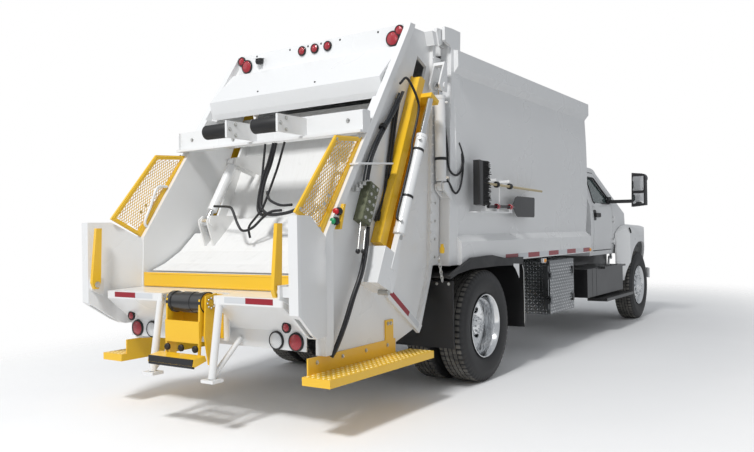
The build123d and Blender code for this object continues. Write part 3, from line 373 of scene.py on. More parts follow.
def smooth_line(points, each=6):
    """Catmull-Rom line through the points: from p1 to p2 it is half of
    2 p1 + (p2 - p0) t + (2 p0 - 5 p1 + 4 p2 - p3) t^2 + (3 p1 - p0 - 3 p2 + p3) t^3."""
    p = np.array(points, float)
    p = np.concatenate([[2 * p[0] - p[1]], p, [2 * p[-1] - p[-2]]])
    t = (np.arange(each) / each)[None, :, None]
    p0, p1, p2, p3 = (p[k:len(p) - 3 + k, None, :] for k in range(4))
    curve = .5 * (2 * p1 + (p2 - p0) * t + (2 * p0 - 5 * p1 + 4 * p2 - p3) * t ** 2
                  + (3 * p1 - p0 - 3 * p2 + p3) * t ** 3)
    return np.concatenate([curve.reshape(-1, 3), p[-2:-1]])


def carried(profile, path, closed_ends=True):
    """A closed (a, b) profile carried along a path: point = path + a * side + b * up."""
    path = np.array(path, float)
    along = np.gradient(path, axis=0)
    along /= np.linalg.norm(along, axis=1, keepdims=True)
    guide = np.array([1.0, 0.0, 0.0]) if np.abs(along[:, 0]).max() < .9 else np.array([0.0, 0.0, 1.0])
    side = np.cross(guide, along)
    side /= np.maximum(np.linalg.norm(side, axis=1, keepdims=True), 1e-6)
    up = np.cross(along, side)
    profile = np.array(profile, float)
    points = path[:, None] + profile[None, :, :1] * side[:, None] + profile[None, :, 1:] * up[:, None]
    rows, cols = points.shape[:2]
    faces = grid_faces(rows, cols, wrap_cols=True)
    if closed_ends:
        faces += [list(range(cols))[::-1], list(range((rows - 1) * cols, rows * cols))]
    return points.reshape(-1, 3), faces


def circle(radius, sides=10):
    """Round profile: radius * (cos, sin)."""
    a = np.arange(sides) / sides * 2 * np.pi
    return np.stack([radius * np.cos(a), radius * np.sin(a)], axis=1)


def tube(points, radius, sides=10, each=6):
    """Round tube on a smooth line through the points."""
    return carried(circle(radius, sides), smooth_line(points, each))


def bar(a, b, radius, sides=16):
    """Straight round bar."""
    return carried(circle(radius, sides), np.array([a, b], float))


def lathe(profile, centre=(0, 0, 0), axis="X", turns=48):
    """(along, radius) profile turned about an axis through centre: (along, r cos t, r sin t)."""
    p = np.array(profile, float)
    t = np.arange(turns) / turns * 2 * np.pi
    along = np.repeat(p[:, :1], turns, axis=1)
    points = np.stack([along, p[:, 1:] * np.cos(t), p[:, 1:] * np.sin(t)], axis=-1)
    order = {"X": (0, 1, 2), "Y": (2, 0, 1), "Z": (1, 2, 0)}[axis]
    points = points[..., order].reshape(-1, 3)
    return points + np.array(centre, float), grid_faces(len(p), turns, wrap_cols=True)


def prism(outline, axis, low, high):
    """A flat outline drawn straight through along an axis; outline holds the other two coordinates."""
    o = np.array(outline, float)
    slot = {"X": 0, "Y": 1, "Z": 2}[axis]
    ends = [np.insert(o, slot, value, axis=1) for value in (low, high)]
    n = len(o)
    faces = grid_faces(2, n, wrap_cols=True) + [list(range(n))[::-1], list(range(n, 2 * n))]
    return np.concatenate(ends), faces


def slab(x0, x1, y0, y1, z0, z1):
    """Plate or block between two corners."""
    return prism([(y0, z0), (y1, z0), (y1, z1), (y0, z1)], "X", x0, x1)


def side_plate(outline, x0, x1):
    """A (y, z) table outline drawn straight through from x0 to x1."""
    return placed(prism(outline, "X", x0, x1))


def rod(a, b, radius, sides=16):
    """Straight round bar between two table points."""
    return bar(*at_axle([a, b]), radius, sides)


def hex_heads(places, across, height, axis="X", side=1):
    """Bolt heads: six-sided prisms with a chamfered top, standing out along an axis."""
    profile = [(0, across * .58), (height * .75, across * .58), (height, across * .44), (height, .0005)]
    head = lathe([(a * side, r) for a, r in profile], axis=axis, turns=6)
    lift, wide = height * .18 * side, across * .8
    washer = lathe([(0, wide), (lift, wide), (lift, .001)], axis=axis, turns=14)
    return copies(join(head, washer), places)


def piece(name, shape, finish, body="tailgate_body", bevel=0.0, smooth=True, instead=()):
    """Mesh object from a shape: closed seams, outward faces, its finish, its body, and what it stands for."""
    points, faces = shape
    mesh = bpy.data.meshes.new(name)
    mesh.from_pydata(points.tolist(), [], faces)
    made = bpy.data.objects.new(name, mesh)
    bpy.context.scene.collection.objects.link(made)
    work = bmesh.new()
    work.from_mesh(mesh)
    bmesh.ops.remove_doubles(work, verts=work.verts, dist=2e-5)
    bmesh.ops.recalc_face_normals(work, faces=work.faces)
    work.to_mesh(mesh)
    work.free()
    if smooth:
        mesh.shade_smooth()
        mesh.set_sharp_from_angle(angle=math.radians(38))
    mesh.materials.append(finish)
    if bevel:
        edge = made.modifiers.new("edge", "BEVEL")
        edge.width = bevel
        edge.segments = 2
        edge.limit_method = "ANGLE"
        edge.harden_normals = False
    if body is not None:
        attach(made, body)
    if instead:
        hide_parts(*instead)
    return made


# ---- wheels
OUTER_X = 1.066
INNER_X = .726
FRONT_X = 1.03
DISC_WALL = .012
HOLE_RADIUS = .028
HOLE_RING = .205
NUT_RING = .1425
NUT_HEIGHT = .026


def tread_surface(turns=240):
    """Tyre: a closed (x, r) profile with 11 mm grooves, turned about X. At each fourth step of the turn r is
    12 mm less on the shoulders and 6 mm less on the middle ribs."""
    side = [(.095, .29), (.123, .318), (.136, .37), (.1395, .42), (.137, .45), (.133, .456),
            (.13, .476), (.124, .498), (.12, .508), (.112, .519)]
    tread = [(.101, .5262), (.07, .527), (.069, .516), (.06, .516), (.059, .527), (.027, .527),
             (.026, .516), (.017, .516), (.016, .527)]
    half = side + tread
    profile = np.array(half + [(-x, r) for x, r in reversed(half)] + [(-.095, .2895), (.095, .2895)])
    t = np.arange(turns) / turns * 2 * np.pi
    radius = np.repeat(profile[:, 1:], turns, axis=1)
    across = np.abs(profile[:, :1])
    shift = np.where(profile[:, :1] > 0, 0, 2)
    notch = ((np.arange(turns)[None, :] + shift) % 4 == 0)
    outer = (across > .069) & (profile[:, 1:] > .497)
    inner = (across < .069) & (profile[:, 1:] > .52)
    radius = radius - np.where(outer & notch, .012, 0) - np.where(inner & notch, .006, 0)
    x = np.repeat(profile[:, :1], turns, axis=1)
    points = np.stack([x, radius * np.cos(t), radius * np.sin(t)], axis=-1).reshape(-1, 3)
    return points, grid_faces(len(profile), turns, wrap_rows=True, wrap_cols=True)


def holed_disc(line, hole_r, hole_at, count):
    """Wheel disc: `line` gives (x, r) pairs; each sector runs from a round hole out to the sector's edge.
    point = hole + share * (edge - hole) in the (angle, r) plane, then turned about X."""
    line = np.array(line, float)
    r0, r1 = line[:, 1].min(), line[:, 1].max()
    half = np.pi / count
    corner = math.atan2((r1 - hole_at), half * hole_at)
    corner_low = math.atan2((hole_at - r0), half * hole_at)
    top, low = np.pi - corner, np.pi + corner_low
    arcs = ((-corner_low, corner, 7), (corner, top, 9), (top, low, 7), (low, 2 * np.pi - corner_low, 9))
    phi = np.sort(np.unique(np.round(np.concatenate([np.linspace(*arc) for arc in arcs]), 6)))[:-1]
    c, s = np.cos(phi), np.sin(phi)
    reach_side = half * hole_at / np.maximum(np.abs(c), 1e-9)
    reach_end = np.where(s > 0, r1 - hole_at, hole_at - r0) / np.maximum(np.abs(s), 1e-9)
    reach = np.minimum(reach_side, reach_end)
    share = np.linspace(0, 1, 5)[:, None]
    distance = hole_r + (reach[None, :] - hole_r) * share
    radius = hole_at + distance * s
    angle = distance * c / hole_at
    order = np.argsort(line[:, 1])
    x = np.interp(radius, line[order, 1], line[order, 0])
    shapes = []
    faces = grid_faces(5, len(phi), wrap_cols=True)
    for k in range(count):
        a = angle + 2 * np.pi * k / count
        points = np.stack([x, radius * np.cos(a), radius * np.sin(a)], axis=-1)
        shapes.append((points.reshape(-1, 3), faces))
    return join(*shapes)


def wheel_nuts(x, count, ring, across):
    """Nuts on a bolt circle, standing outward from x."""
    a = np.arange(count) / count * 2 * np.pi
    places = np.stack([np.full(count, x), ring * np.cos(a), ring * np.sin(a)], axis=1)
    return hex_heads(places, across, NUT_HEIGHT)


def rim_barrel():
    """Rolled rim: closed (x, r) profile with flange lips, bead seats and a dropped well."""
    well = [(.121, .2985), (.127, .299), (.13, .295), (.127, .29), (.118, .286), (.095, .278),
            (.07, .27), (-.06, .264), (-.095, .276), (-.118, .286), (-.127, .29),
            (-.13, .295), (-.127, .299), (-.119, .2985), (-.1, .289), (.1, .289)]
    return lathe(well + well[:1], turns=64)


def deep_wheel():
    """Outer rear wheel: disc well inside the rim, hub flange and axle end standing out of it."""
    line = [(-.088, .11), (-.09, .15), (-.08, .19), (-.058, .235), (-.04, .268)]
    disc = holed_disc(line, HOLE_RADIUS, HOLE_RING, 10)
    hub = lathe([(-.1, .125), (-.06, .124), (-.055, .108), (-.01, .104), (-.004, .092), (.03, .088),
                 (.036, .08), (.04, .045), (.043, .0005), (-.1, .0005), (-.1, .125)], turns=40)
    return disc, join(hub, wheel_nuts(-.076, 10, NUT_RING, .03), wheel_nuts(.036, 8, .066, .017))


def shallow_wheel():
    """Steered wheel: disc carried out near the rim's face, hub cap and nuts."""
    line = [(.098, .104), (.1, .15), (.092, .19), (.07, .235), (.048, .268)]
    disc = holed_disc(line, HOLE_RADIUS, HOLE_RING, 10)
    hub = lathe([(.08, .118), (.112, .116), (.116, .09), (.14, .078), (.147, .06), (.149, .0005),
                 (.08, .0005), (.08, .118)], turns=40)
    return disc, join(hub, wheel_nuts(.108, 10, NUT_RING, .03))


TYRE_SHAPE = tread_surface()
RIM_SHAPE = rim_barrel()


def thick_ring(x0, x1, bore, radius):
    """Hub or drum: a ring of square section turned about X."""
    return lathe([(x0, bore), (x0, radius), (x1, radius), (x1, bore), (x0, bore)], turns=36)


def fit_wheel(word, body, y, rows):
    """Pieces of one wheel body; a row is (name, shapes and their X, finish, replaced node, wall or not)."""
    for name, parts, finish, node, wall in rows:
        shape = join(*[move(part, x, y + AXLE_Y, HUB_Z) for part, x in parts])
        made = piece(name.format(word), shape if word == "right" else flip_side(shape), finish,
                     body.format(word), instead=[node.format(word)] if node else ())
        if wall:
            made.modifiers.new("wall", "SOLIDIFY").thickness = DISC_WALL


for hand_word in ("right", "left"):
    disc, hub = deep_wheel()
    fit_wheel(hand_word, "wheel_rear_{}", 0, [
        ("rear_tyres_{}", [(TYRE_SHAPE, OUTER_X), (TYRE_SHAPE, INNER_X)], TYRE, "tyres_rear_{}", False),
        ("rear_rims_{}", [(RIM_SHAPE, OUTER_X), (RIM_SHAPE, INNER_X), (hub, OUTER_X)], POLISHED,
         "rims_rear_{}", False),
        ("rear_discs_{}", [(disc, OUTER_X), (flip_side(disc), INNER_X)], POLISHED, None, True),
        ("rear_hub_{}", [(thick_ring(-.235, -.03, .0505, .118), .96)], CHASSIS, None, False)])
    disc, hub = shallow_wheel()
    fit_wheel(hand_word, "wheel_front_{}", FRONT, [
        ("front_tyre_{}_skin", [(TYRE_SHAPE, FRONT_X)], TYRE, "tyre_front_{}", False),
        ("front_rim_{}_skin", [(RIM_SHAPE, FRONT_X), (hub, FRONT_X)], POLISHED, "rim_front_{}", False),
        ("front_disc_{}", [(disc, FRONT_X)], POLISHED, None, True),
        ("front_drum_{}", [(thick_ring(-.098, .08, .0405, .105), FRONT_X)], CHASSIS, None, False)])


# ---- hoses and cables
def hose_set(name, rows, finish, body="tailgate_body"):
    """Clipped hoses: each row is (radius, points)."""
    shape = join(*[tube(at_axle(points), radius) for radius, points in rows])
    return piece(name, shape, finish, body)


def side_by_side(points, offsets):
    """The same route shifted by each (x, y, z)."""
    return [[tuple(np.array(p) + np.array(o)) for p in points] for o in offsets]


DOWN_ROUTE = [(1.0, -1.171, 2.585), (1.0, -1.292, 2.42), (1.0, -1.447, 2.257), (1.0, -1.559, 2.125),
              (1.002, -1.651, 1.996), (1.006, -1.697, 1.895), (1.01, -1.726, 1.822)]
SLEEVE_ROUTE = [(1.0, -1.203, 2.533), (1.0, -1.254, 2.378), (1.0, -1.299, 2.21), (1.0, -1.364, 1.945),
                (1.0, -1.42, 1.736), (1.002, -1.499, 1.6), (1.006, -1.56, 1.52)]
BACK_ROUTE = [(1.03, -1.7, 1.47), (1.055, -1.759, 1.321), (1.06, -1.83, 1.134), (1.05, -1.925, .96),
              (1.045, -2.02, .78), (1.035, -2.11, .63), (1.02, -2.15, .56)]
SPREAD = [(0, 0, 0), (.014, .022, .01), (.004, .046, .02), (.016, -.018, -.006), (.026, .036, .014)]
hose_set("valve_hoses", [(.0068, r) for r in side_by_side(DOWN_ROUTE, SPREAD)], GREY_HOSE)
tie = rod((1.01, -1.425, 2.285), (1.01, -1.45, 2.258), .03, 16)
piece("hose_tie", tie, RUBBER)
sleeve_rows = [(.0125, r) for r in side_by_side(SLEEVE_ROUTE, [(0, 0, 0), (.006, .028, .004)])]
sleeve_rows += [(.017, r) for r in side_by_side(BACK_ROUTE, [(0, 0, 0), (.01, -.036, -.016)])]
hose_set("tailgate_hoses", sleeve_rows, HOSE)
LOOPS = [
    [(1.075, -.53, 2.36), (1.1, -.535, 2.16), (1.11, -.545, 2.02), (1.12, -.5, 1.95),
     (1.13, -.42, 1.935), (1.135, -.34, 1.985), (1.13, -.285, 2.07), (1.12, -.295, 2.16),
     (1.118, -.345, 2.235)],
    [(1.07, -.6, 1.93), (1.12, -.555, 1.86), (1.13, -.5, 1.79), (1.14, -.45, 1.77),
     (1.14, -.37, 1.84), (1.13, -.3, 2.0), (1.118, -.3, 2.14)],
]
hose_set("lift_hoses", [(.01, loop) for loop in LOOPS], HOSE, "chassis")
HANG = [
    (.01, [(.04, -1.765, 2.185), (.038, -1.8, 1.95), (.04, -1.84, 1.72), (.07, -1.86, 1.6),
           (.1, -1.87, 1.585)]),
    (.014, [(.135, -1.765, 2.185), (.095, -1.79, 2.02), (.045, -1.82, 1.86), (.027, -1.85, 1.66),
            (.06, -1.86, 1.6), (.104, -1.86, 1.585)]),
    (.014, [(.16, -1.765, 2.185), (.125, -1.79, 2.02), (.075, -1.82, 1.86), (.06, -1.85, 1.68),
            (.11, -1.86, 1.61), (.2, -1.865, 1.587), (.375, -1.87, 1.6), (.52, -1.88, 1.64)]),
    (.01, [(.255, -1.765, 2.185), (.215, -1.8, 2.0), (.185, -1.83, 1.88), (.094, -1.86, 1.655),
           (.025, -1.87, 1.575), (-.056, -1.875, 1.49), (-.05, -1.87, 1.4)]),
    (.011, [(.119, -1.84, 1.78), (.15, -1.85, 1.72), (.2, -1.86, 1.69), (.3, -1.87, 1.66),
            (.42, -1.88, 1.66)]),
    (.011, [(-.5, -1.84, 1.68), (-.31, -1.86, 1.668), (-.251, -1.87, 1.64), (-.183, -1.88, 1.522),
            (-.114, -1.89, 1.462), (-.011, -1.88, 1.485), (.103, -1.87, 1.57), (.192, -1.87, 1.612),
            (.3, -1.87, 1.62)]),
]
hanging = hose_set("hopper_hoses", HANG, HOSE, None)
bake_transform(hanging)


# ---- tailgate dressing
def inside(points, outline):
    """Which (a, b) points lie inside an outline: odd number of edge crossings to the right."""
    a, b = points[:, 0:1], points[:, 1:2]
    o = np.array(outline, float)
    o2 = np.roll(o, -1, axis=0)
    spans = (o[None, :, 1] > b) != (o2[None, :, 1] > b)
    drop = np.where(o2[:, 1] == o[:, 1], 1e-9, o2[:, 1] - o[:, 1])
    cut = (o2[:, 0] - o[:, 0]) * (b - o[:, 1]) / drop + o[:, 0]
    return (spans & (a < cut)).sum(axis=1) % 2 == 1


def expanded_mesh(outline, x, along, long_pitch=.05, short_pitch=.024, strand=.0022):
    """Diamond mesh filling a (y, z) outline in the plane X = x: strands join lattice points i, j whose sum is
    even, point = i * long/2 * along + j * short/2 * across."""
    along = np.array(along, float) / np.linalg.norm(along)
    across = np.array([-along[1], along[0]])
    centre = np.array(outline, float).mean(axis=0)
    i, j = np.meshgrid(np.arange(-30, 31), np.arange(-60, 61), indexing="ij")
    even = (i + j) % 2 == 0
    i, j = i[even], j[even]
    start = centre + np.outer(i * long_pitch / 2, along) + np.outer(j * short_pitch / 2, across)
    segments = []
    for step in (1, -1):
        end = start + along * long_pitch / 2 + across * step * short_pitch / 2
        keep = inside(start, outline) & inside(end, outline)
        segments.append(np.stack([start[keep], end[keep]], axis=1))
    ends = np.concatenate(segments)
    direction = ends[:, 1] - ends[:, 0]
    direction /= np.linalg.norm(direction, axis=1, keepdims=True)
    normal = np.stack([-direction[:, 1], direction[:, 0]], axis=1) * strand
    corners = []
    for end in (0, 1):
        for side, lift in ((1, -1), (1, 1), (-1, 1), (-1, -1)):
            flat = ends[:, end] + normal * side
            level = np.full((len(flat), 1), x + lift * strand * .8)
            corners.append(np.concatenate([level, flat], axis=1))
    return boxes_of(np.stack(corners, axis=1), BOX_SIDES)


GUARD_HOLE = [(-1.772, 2.128), (-2.043, 2.112), (-2.478, 1.583), (-2.259, 1.472)]
mesh = placed(expanded_mesh(GUARD_HOLE, 1.0, (-.45, -.66)))
piece("guard_mesh", twin(mesh), YELLOW, smooth=False)
GUARD_EDGE = [(-1.742, 2.15), (-2.052, 2.132), (-2.508, 1.578), (-2.248, 1.446), (-1.742, 2.15)]
edge_line = at_axle([(1.0, y, z) for y, z in GUARD_EDGE])
rim_tube = join(*[bar(a, b, .013, 12) for a, b in zip(edge_line, edge_line[1:])])
piece("guard_rims", twin(rim_tube), YELLOW)


LAMP_DEPTH = .014
LAMP_RING = .012
LAMP_DOME = .012


def lamp(x, y, z, radius):
    """Round lamp facing the rear: lens dome and rubber ring, both turned about Y."""
    deep = LAMP_DEPTH
    cap = [(-deep - LAMP_DOME * (1 - s ** 2), radius * s) for s in np.linspace(0, 1, 7)[1:]]
    dome = lathe([(-deep - LAMP_DOME, .0004)] + cap + [(0.0, radius)], (x, y, z), "Y", 32)
    wide = radius + LAMP_RING
    rubber = lathe([(0, wide), (-deep * .8, wide), (-deep - .004, radius + LAMP_RING * .5),
                    (-deep * .9, radius), (0, radius)], (x, y, z), "Y", 32)
    return dome, rubber


# x, y, z, radius, kind; each is on both sides unless it is in the middle
LAMPS = [(.929, -1.03, 3.15, .036, "red"), (.86, -1.03, 3.09, .056, "red"),
         (.152, -1.03, 3.139, .034, "red"), (.866, -2.37, .664, .056, "red"),
         (.845, -2.445, .775, .028, "red"), (0, -1.03, 3.139, .034, "red"),
         (.681, -2.37, .664, .056, "clear")]
lenses = {"red": [], "clear": []}
rings = []
for x, y, z, radius, kind in LAMPS:
    for hand in (1, -1) if x else (1,):
        dome, rubber = lamp(*spot(x * hand, y, z), radius)
        lenses[kind].append(dome)
        rings.append(rubber)
piece("red_lenses", join(*lenses["red"]), RED, instead=["tail_lamps"])
piece("clear_lenses", join(*lenses["clear"]), CLEAR)
piece("lamp_rubbers", join(*rings), RUBBER)


def tape(name, boxes, finish, body="tailgate_body"):
    """Reflective tape strips, under 2 mm thick: each row is a block's corners."""
    piece(name, twin(placed(join(*[slab(*row) for row in boxes]))), finish, body)


tape("bumper_tape_red", [(.6, .858, -2.6012, -2.5995, .943, .984)], TAPE_RED)
tape("bumper_tape_silver", [(.393, .6, -2.6012, -2.5995, .943, .984)], TAPE_WHITE)
REDS = [(.555, .87), (1.14, 1.46), (1.745, 2.06), (2.35, 2.66), (2.95, 3.2)]
SILVERS = [(.87, 1.14), (1.46, 1.745), (2.06, 2.35), (2.66, 2.95)]
tape("side_tape_red", [(1.1555, 1.1572, a, b, 1.13, 1.182) for a, b in REDS], TAPE_RED, "chassis")
tape("side_tape_silver", [(1.1555, 1.1572, a, b, 1.13, 1.182) for a, b in SILVERS], TAPE_WHITE, "chassis")

bolts = [(1.0145, y, z) for y, z in np.linspace((-.612, 2.98), (-.718, 1.16), 22)]
piece("tailgate_bolts", twin(hex_heads(at_axle(bolts), .017, .01)), WHITE)


def buffer_roll(x0, x1):
    """Rubber buffer: ribbed roll with a bolt boss at its free end, turned about X."""
    body_line = [(x0, .0005), (x0, .03), (x0 + .004, .052), (x0 + .012, .06), (x1 - .01, .0615),
                 (x1 - .002, .056), (x1, .05), (x1, .0005)]
    return lathe(body_line, spot(0, -2.025, 2.29), turns=40)


piece("buffer_rolls", join(buffer_roll(-.387, -.0985), buffer_roll(.163, .4515)), RUBBER,
      instead=["rubber_buffers"])


# ---- broom and shovel
def bristle_block(rows=34, across=9, seed=4):
    """Broom head: tapered tufts from the wooden back; each tuft is a four-sided spike with a leaning tip."""
    random = np.random.default_rng(seed)
    z = np.linspace(1.675, 2.075, rows)
    x = np.linspace(1.192, 1.252, across)
    zz, xx = np.meshgrid(z, x, indexing="ij")
    root = np.stack([xx.ravel(), np.full(xx.size, -.14), zz.ravel()], axis=1)
    tip = root + np.stack([random.normal(0, .004, len(root)), random.uniform(.135, .175, len(root)),
                           random.normal(0, .007, len(root))], axis=1)
    ring = np.array([(1, 0, 0), (0, 0, 1), (-1, 0, 0), (0, 0, -1)], float)
    points = np.concatenate([root[:, None] + ring * .0062, tip[:, None] + ring * .0042], axis=1)
    return placed(boxes_of(points, CLOSED_BOX))


piece("broom_bristles", bristle_block(), BRISTLE, "chassis", smooth=False)
back = side_plate([(-.215, 1.668), (-.145, 1.66), (-.135, 2.08), (-.205, 2.085)], 1.186, 1.258)
piece("broom_back", back, BLACK, "chassis", bevel=.006)
piece("broom_stick", rod((1.222, -.15, 1.878), (1.205, 1.43, 1.85), .0125), CANE, "chassis",
      instead=["broom_shovel"])
blade = [(.6, 1.672), (.66, 1.7), (.72, 1.762), (.77, 1.777), (1.22, 1.775), (1.236, 1.762),
         (1.222, 1.575), (1.205, 1.56), (.77, 1.562), (.735, 1.58), (.665, 1.645)]
piece("shovel_blade", side_plate(blade, 1.1985, 1.203), BLACK, "chassis", bevel=.0015)
piece("shovel_stick", rod((1.205, .06, 1.655), (1.203, .7, 1.668), .0155), BLACK, "chassis")


def grips(half, bore, radius, places):
    """Grip sleeves on a handle: chamfered rings turned about Y at (y, z) places."""
    ring = [(-half, bore), (.002 - half, radius), (half - .002, radius), (half, bore), (-half, bore)]
    return join(*[lathe(ring, spot(1.216, y, z), "Y", 20) for y, z in places])


piece("shovel_grips", grips(.022, .018, .028, [(.24, 1.66), (.55, 1.66)]), RED, "chassis")
piece("broom_grips", grips(.018, .016, .03, [(.24, 1.873), (.55, 1.868)]), RUBBER, "chassis")


# ---- tread plate and toolbox latches
def lozenges(y0, y1, z0, z1, x, pitch=.036, size=.0175, rise=.003):
    """Raised lozenges on a plate at X = x, every other one turned: corner = place + (long, short) * size, top
    pulled in."""
    y, z = np.meshgrid(np.arange(y0, y1, pitch), np.arange(z0, z1, pitch), indexing="ij")
    turned = (np.arange(y.shape[0])[:, None] + np.arange(y.shape[1])[None, :]) % 2
    y, z, turned = y.ravel(), z.ravel(), turned.ravel()
    angle = np.where(turned, np.pi / 4, -np.pi / 4)
    long_way = np.stack([np.cos(angle), np.sin(angle)], axis=1)
    short_way = np.stack([-np.sin(angle), np.cos(angle)], axis=1) * .34
    at = np.stack([y, z], axis=1)
    ring = [long_way, short_way, -long_way, -short_way]
    low = np.stack([at + r * size for r in ring], axis=1)
    high = np.stack([at + r * size * .55 for r in ring], axis=1)
    flat = np.concatenate([low, high], axis=1)
    lift = np.repeat(np.array([0, rise]), 4)[None, :, None]
    points = np.concatenate([np.broadcast_to(x + lift, (*flat.shape[:2], 1)), flat], axis=2)
    return boxes_of(points, CLOSED_BOX)


door_plate = lozenges(1.745 + AXLE_Y, 2.515 + AXLE_Y, .478, 1.05, 1.1701)
piece("toolbox_tread", door_plate, TREAD_PLATE, "toolbox_lid", smooth=False)
end_plate = lozenges(.72, 1.13, .468, 1.06, 0.0)
points = end_plate[0][:, [1, 0, 2]] * np.array([1, -1, 1]) + np.array([0, 1.7259 + AXLE_Y, 0])
end_plate = (points, [face[::-1] for face in end_plate[1]])
piece("toolbox_end_tread", end_plate, TREAD_PLATE, "chassis", smooth=False)
latches = [slab(1.17, 1.19, 2.44, 2.49, z - .045, z + .045) for z in (.6, .93)]
piece("toolbox_latches", placed(join(*latches)), BLACK, "toolbox_lid", bevel=.006)


# ---- small curved forms
def pillow(a0, a1, b0, b1, face, rise, axis="Y", side=-1, power=4, grid=14):
    """Closed lens over a rectangle: stands out by rise * (1 - |u|^power)(1 - |v|^power), flat behind."""
    u, v = np.meshgrid(np.linspace(-1, 1, grid), np.linspace(-1, 1, grid), indexing="ij")
    a = a0 + (a1 - a0) * (u + 1) / 2
    b = b0 + (b1 - b0) * (v + 1) / 2
    out = face + side * rise * (1 - np.abs(u) ** power) * (1 - np.abs(v) ** power)
    sheets = []
    for level in (out, face + 0 * a):
        order = {"Y": (a, level, b), "X": (level, a, b), "Z": (a, b, level)}[axis]
        sheets.append((np.stack(order, axis=-1).reshape(-1, 3), grid_faces(grid, grid)))
    return join(*sheets)


def ring_line(points, radius, sides=10, each=5):
    """Round section on a closed smooth line."""
    p = np.array(points, float)
    line = smooth_line(np.concatenate([p[-2:], p, p[:2]]), each)[2 * each:-2 * each]
    return carried(circle(radius, sides), line, closed_ends=False)


def ball(place, radius, turns=16):
    """Round knob: (-r cos t, r sin t) turned about Z."""
    t = np.linspace(.02, np.pi - .02, 9)
    return lathe(np.stack([-radius * np.cos(t), radius * np.sin(t)], axis=1), place, "Z", turns)


def round_head(places, radius, height, axis="Y", side=-1):
    """Domed screw heads: radius * cos, height * sin over a quarter turn."""
    t = np.linspace(0, np.pi / 2 - .02, 5)
    dome = lathe(np.stack([side * height * np.sin(t), radius * np.cos(t)], axis=1), axis=axis, turns=12)
    return copies(dome, places)


# ---- right-hand controls and cylinders
TRACK_LEAN = math.radians(65)
VALVE_STEPS = np.arange(-.712, -.4, .0655)


def on_track(s, n, x):
    """Point at s along the packing track and n across it, rearward positive."""
    c, k = math.cos(TRACK_LEAN), math.sin(TRACK_LEAN)
    return (x, -1.275 + s * c - n * k, 2.06 + s * k + n * c)


def track_block(rows, x0, x1):
    """Prism whose outline is given in track coordinates (s, n)."""
    return side_plate([on_track(s, n, 0)[1:] for s, n in rows], x0, x1)


sections = [track_block([(s, .277), (s + .058, .277), (s + .058, .153), (s, .153)], .982, 1.064)
            for s in VALVE_STEPS]
piece("valve_sections", join(*sections), OLIVE, bevel=.004)
spools = [rod(*[on_track(s + .029, .185 + .06 * k, x) for x in (1.0635, 1.072)], .014, 6)
          for s in VALVE_STEPS for k in (0, 1)]
piece("valve_plugs", join(*spools), ZINC)
VALVE_LEVERS = [(-1.9, 1.3), (-1.83, 1.297)]
rods, knobs = [], []
for y, z in VALVE_LEVERS:
    rods.append(rod((1.03, y + .11, z + .235), (1.075, y, z), .006, 10))
    knobs.append(ball(spot(1.077, y - .004, z - .01), .019))
piece("valve_levers", join(*rods), ZINC)
piece("valve_knobs", join(*knobs), RUBBER)
caps = [lathe([(0, .016), (.026, .016), (.03, .012), (.03, .0005)], spot(x, y, z), "Z", 14)
        for x in (1.005, 1.04) for y, z in ((-1.845, 1.74), (-1.8, 1.765), (-1.755, 1.79))]
piece("valve_caps", join(*caps), ZINC)
button_shell = lathe([(0, .03), (-.03, .03), (-.036, .026), (-.036, .0005)], axis="Y", turns=20)
button_head = lathe([(-.036, .022), (-.052, .024), (-.06, .016), (-.062, .0005)], axis="Y", turns=20)
BUTTONS = at_axle([(1.038, -2.07, 1.585), (1.038, -2.108, 1.515)])
piece("button_shells", copies(button_shell, BUTTONS), POLY)
piece("stop_button", copies(button_head, BUTTONS[:1]), RED_PLASTIC)
piece("start_button", copies(button_head, BUTTONS[1:]), GREEN_PLASTIC)
bracket = side_plate([(-2.05, 1.64), (-2.02, 1.64), (-2.075, 1.455), (-2.105, 1.455)], 1.01, 1.062)
piece("button_bracket", bracket, YELLOW, bevel=.003)
GRAB = [(.985, -1.95, 1.87), (.985, -2.03, 1.868), (.985, -2.072, 1.835), (.985, -2.13, 1.695),
        (.985, -2.192, 1.565), (.985, -2.18, 1.515), (.985, -2.11, 1.49)]
piece("grab_handles", twin(tube(at_axle(GRAB), .0125, 12)), WHITE)


def collar(s0, s1, radius, x=1.148, n=-.12, sides=28):
    """Sleeve round the packing cylinder between two places along it."""
    return rod(on_track(s0, n, x), on_track(s1, n, x), radius, sides)


piece("pack_bands", twin(join(collar(.085, .107, .0482), collar(-.345, -.323, .0482))), RUBBER)
piece("pack_glands", twin(join(collar(.212, .2402, .05), collar(-.655, -.61, .0485))), WHITE)
ports = [rod(on_track(s, -.085, 1.165), on_track(s, -.05, 1.18), .013, 6) for s in (.18, -.56)]
piece("pack_ports", twin(join(*ports)), ZINC)
PACK_ROUTE = [(1.1, -1.311, 2.63), (1.1, -1.2, 2.69), (1.103, -1.06, 2.56), (1.11, -1.045, 2.44),
              on_track(.15, -.05, 1.12), on_track(.03, -.062, 1.13), on_track(-.25, -.064, 1.13),
              on_track(-.52, -.062, 1.13), on_track(-.56, -.066, 1.16)]
hose_set("pack_hoses", [(.0105, PACK_ROUTE)], HOSE)
piece("pack_pins", twin(join(rod(on_track(-.69, -.12, 1.12), on_track(-.69, -.12, 1.18), .019, 18),
                             rod((1.08, -1.64, .965), (1.172, -1.64, .965), .02, 18))), ZINC)
piece("rod_guide", side_plate([(-1.9, 1.95), (-1.42, 1.982), (-1.42, 1.968), (-1.9, 1.936)], .981, 1.092),
      WHITE, bevel=.002)
LIFT_X = 1.072
LIFT_Y = -.61
for name, low, high, radius, finish in (("lift_straps", 2.06, 2.085, .0515, RUBBER),
                                        ("lift_glands", 2.605, 2.6348, .0525, WHITE)):
    ring = rod((LIFT_X, LIFT_Y, low), (LIFT_X, LIFT_Y, high), radius, 28)
    piece(name, twin(ring), finish, "lift_cylinder")
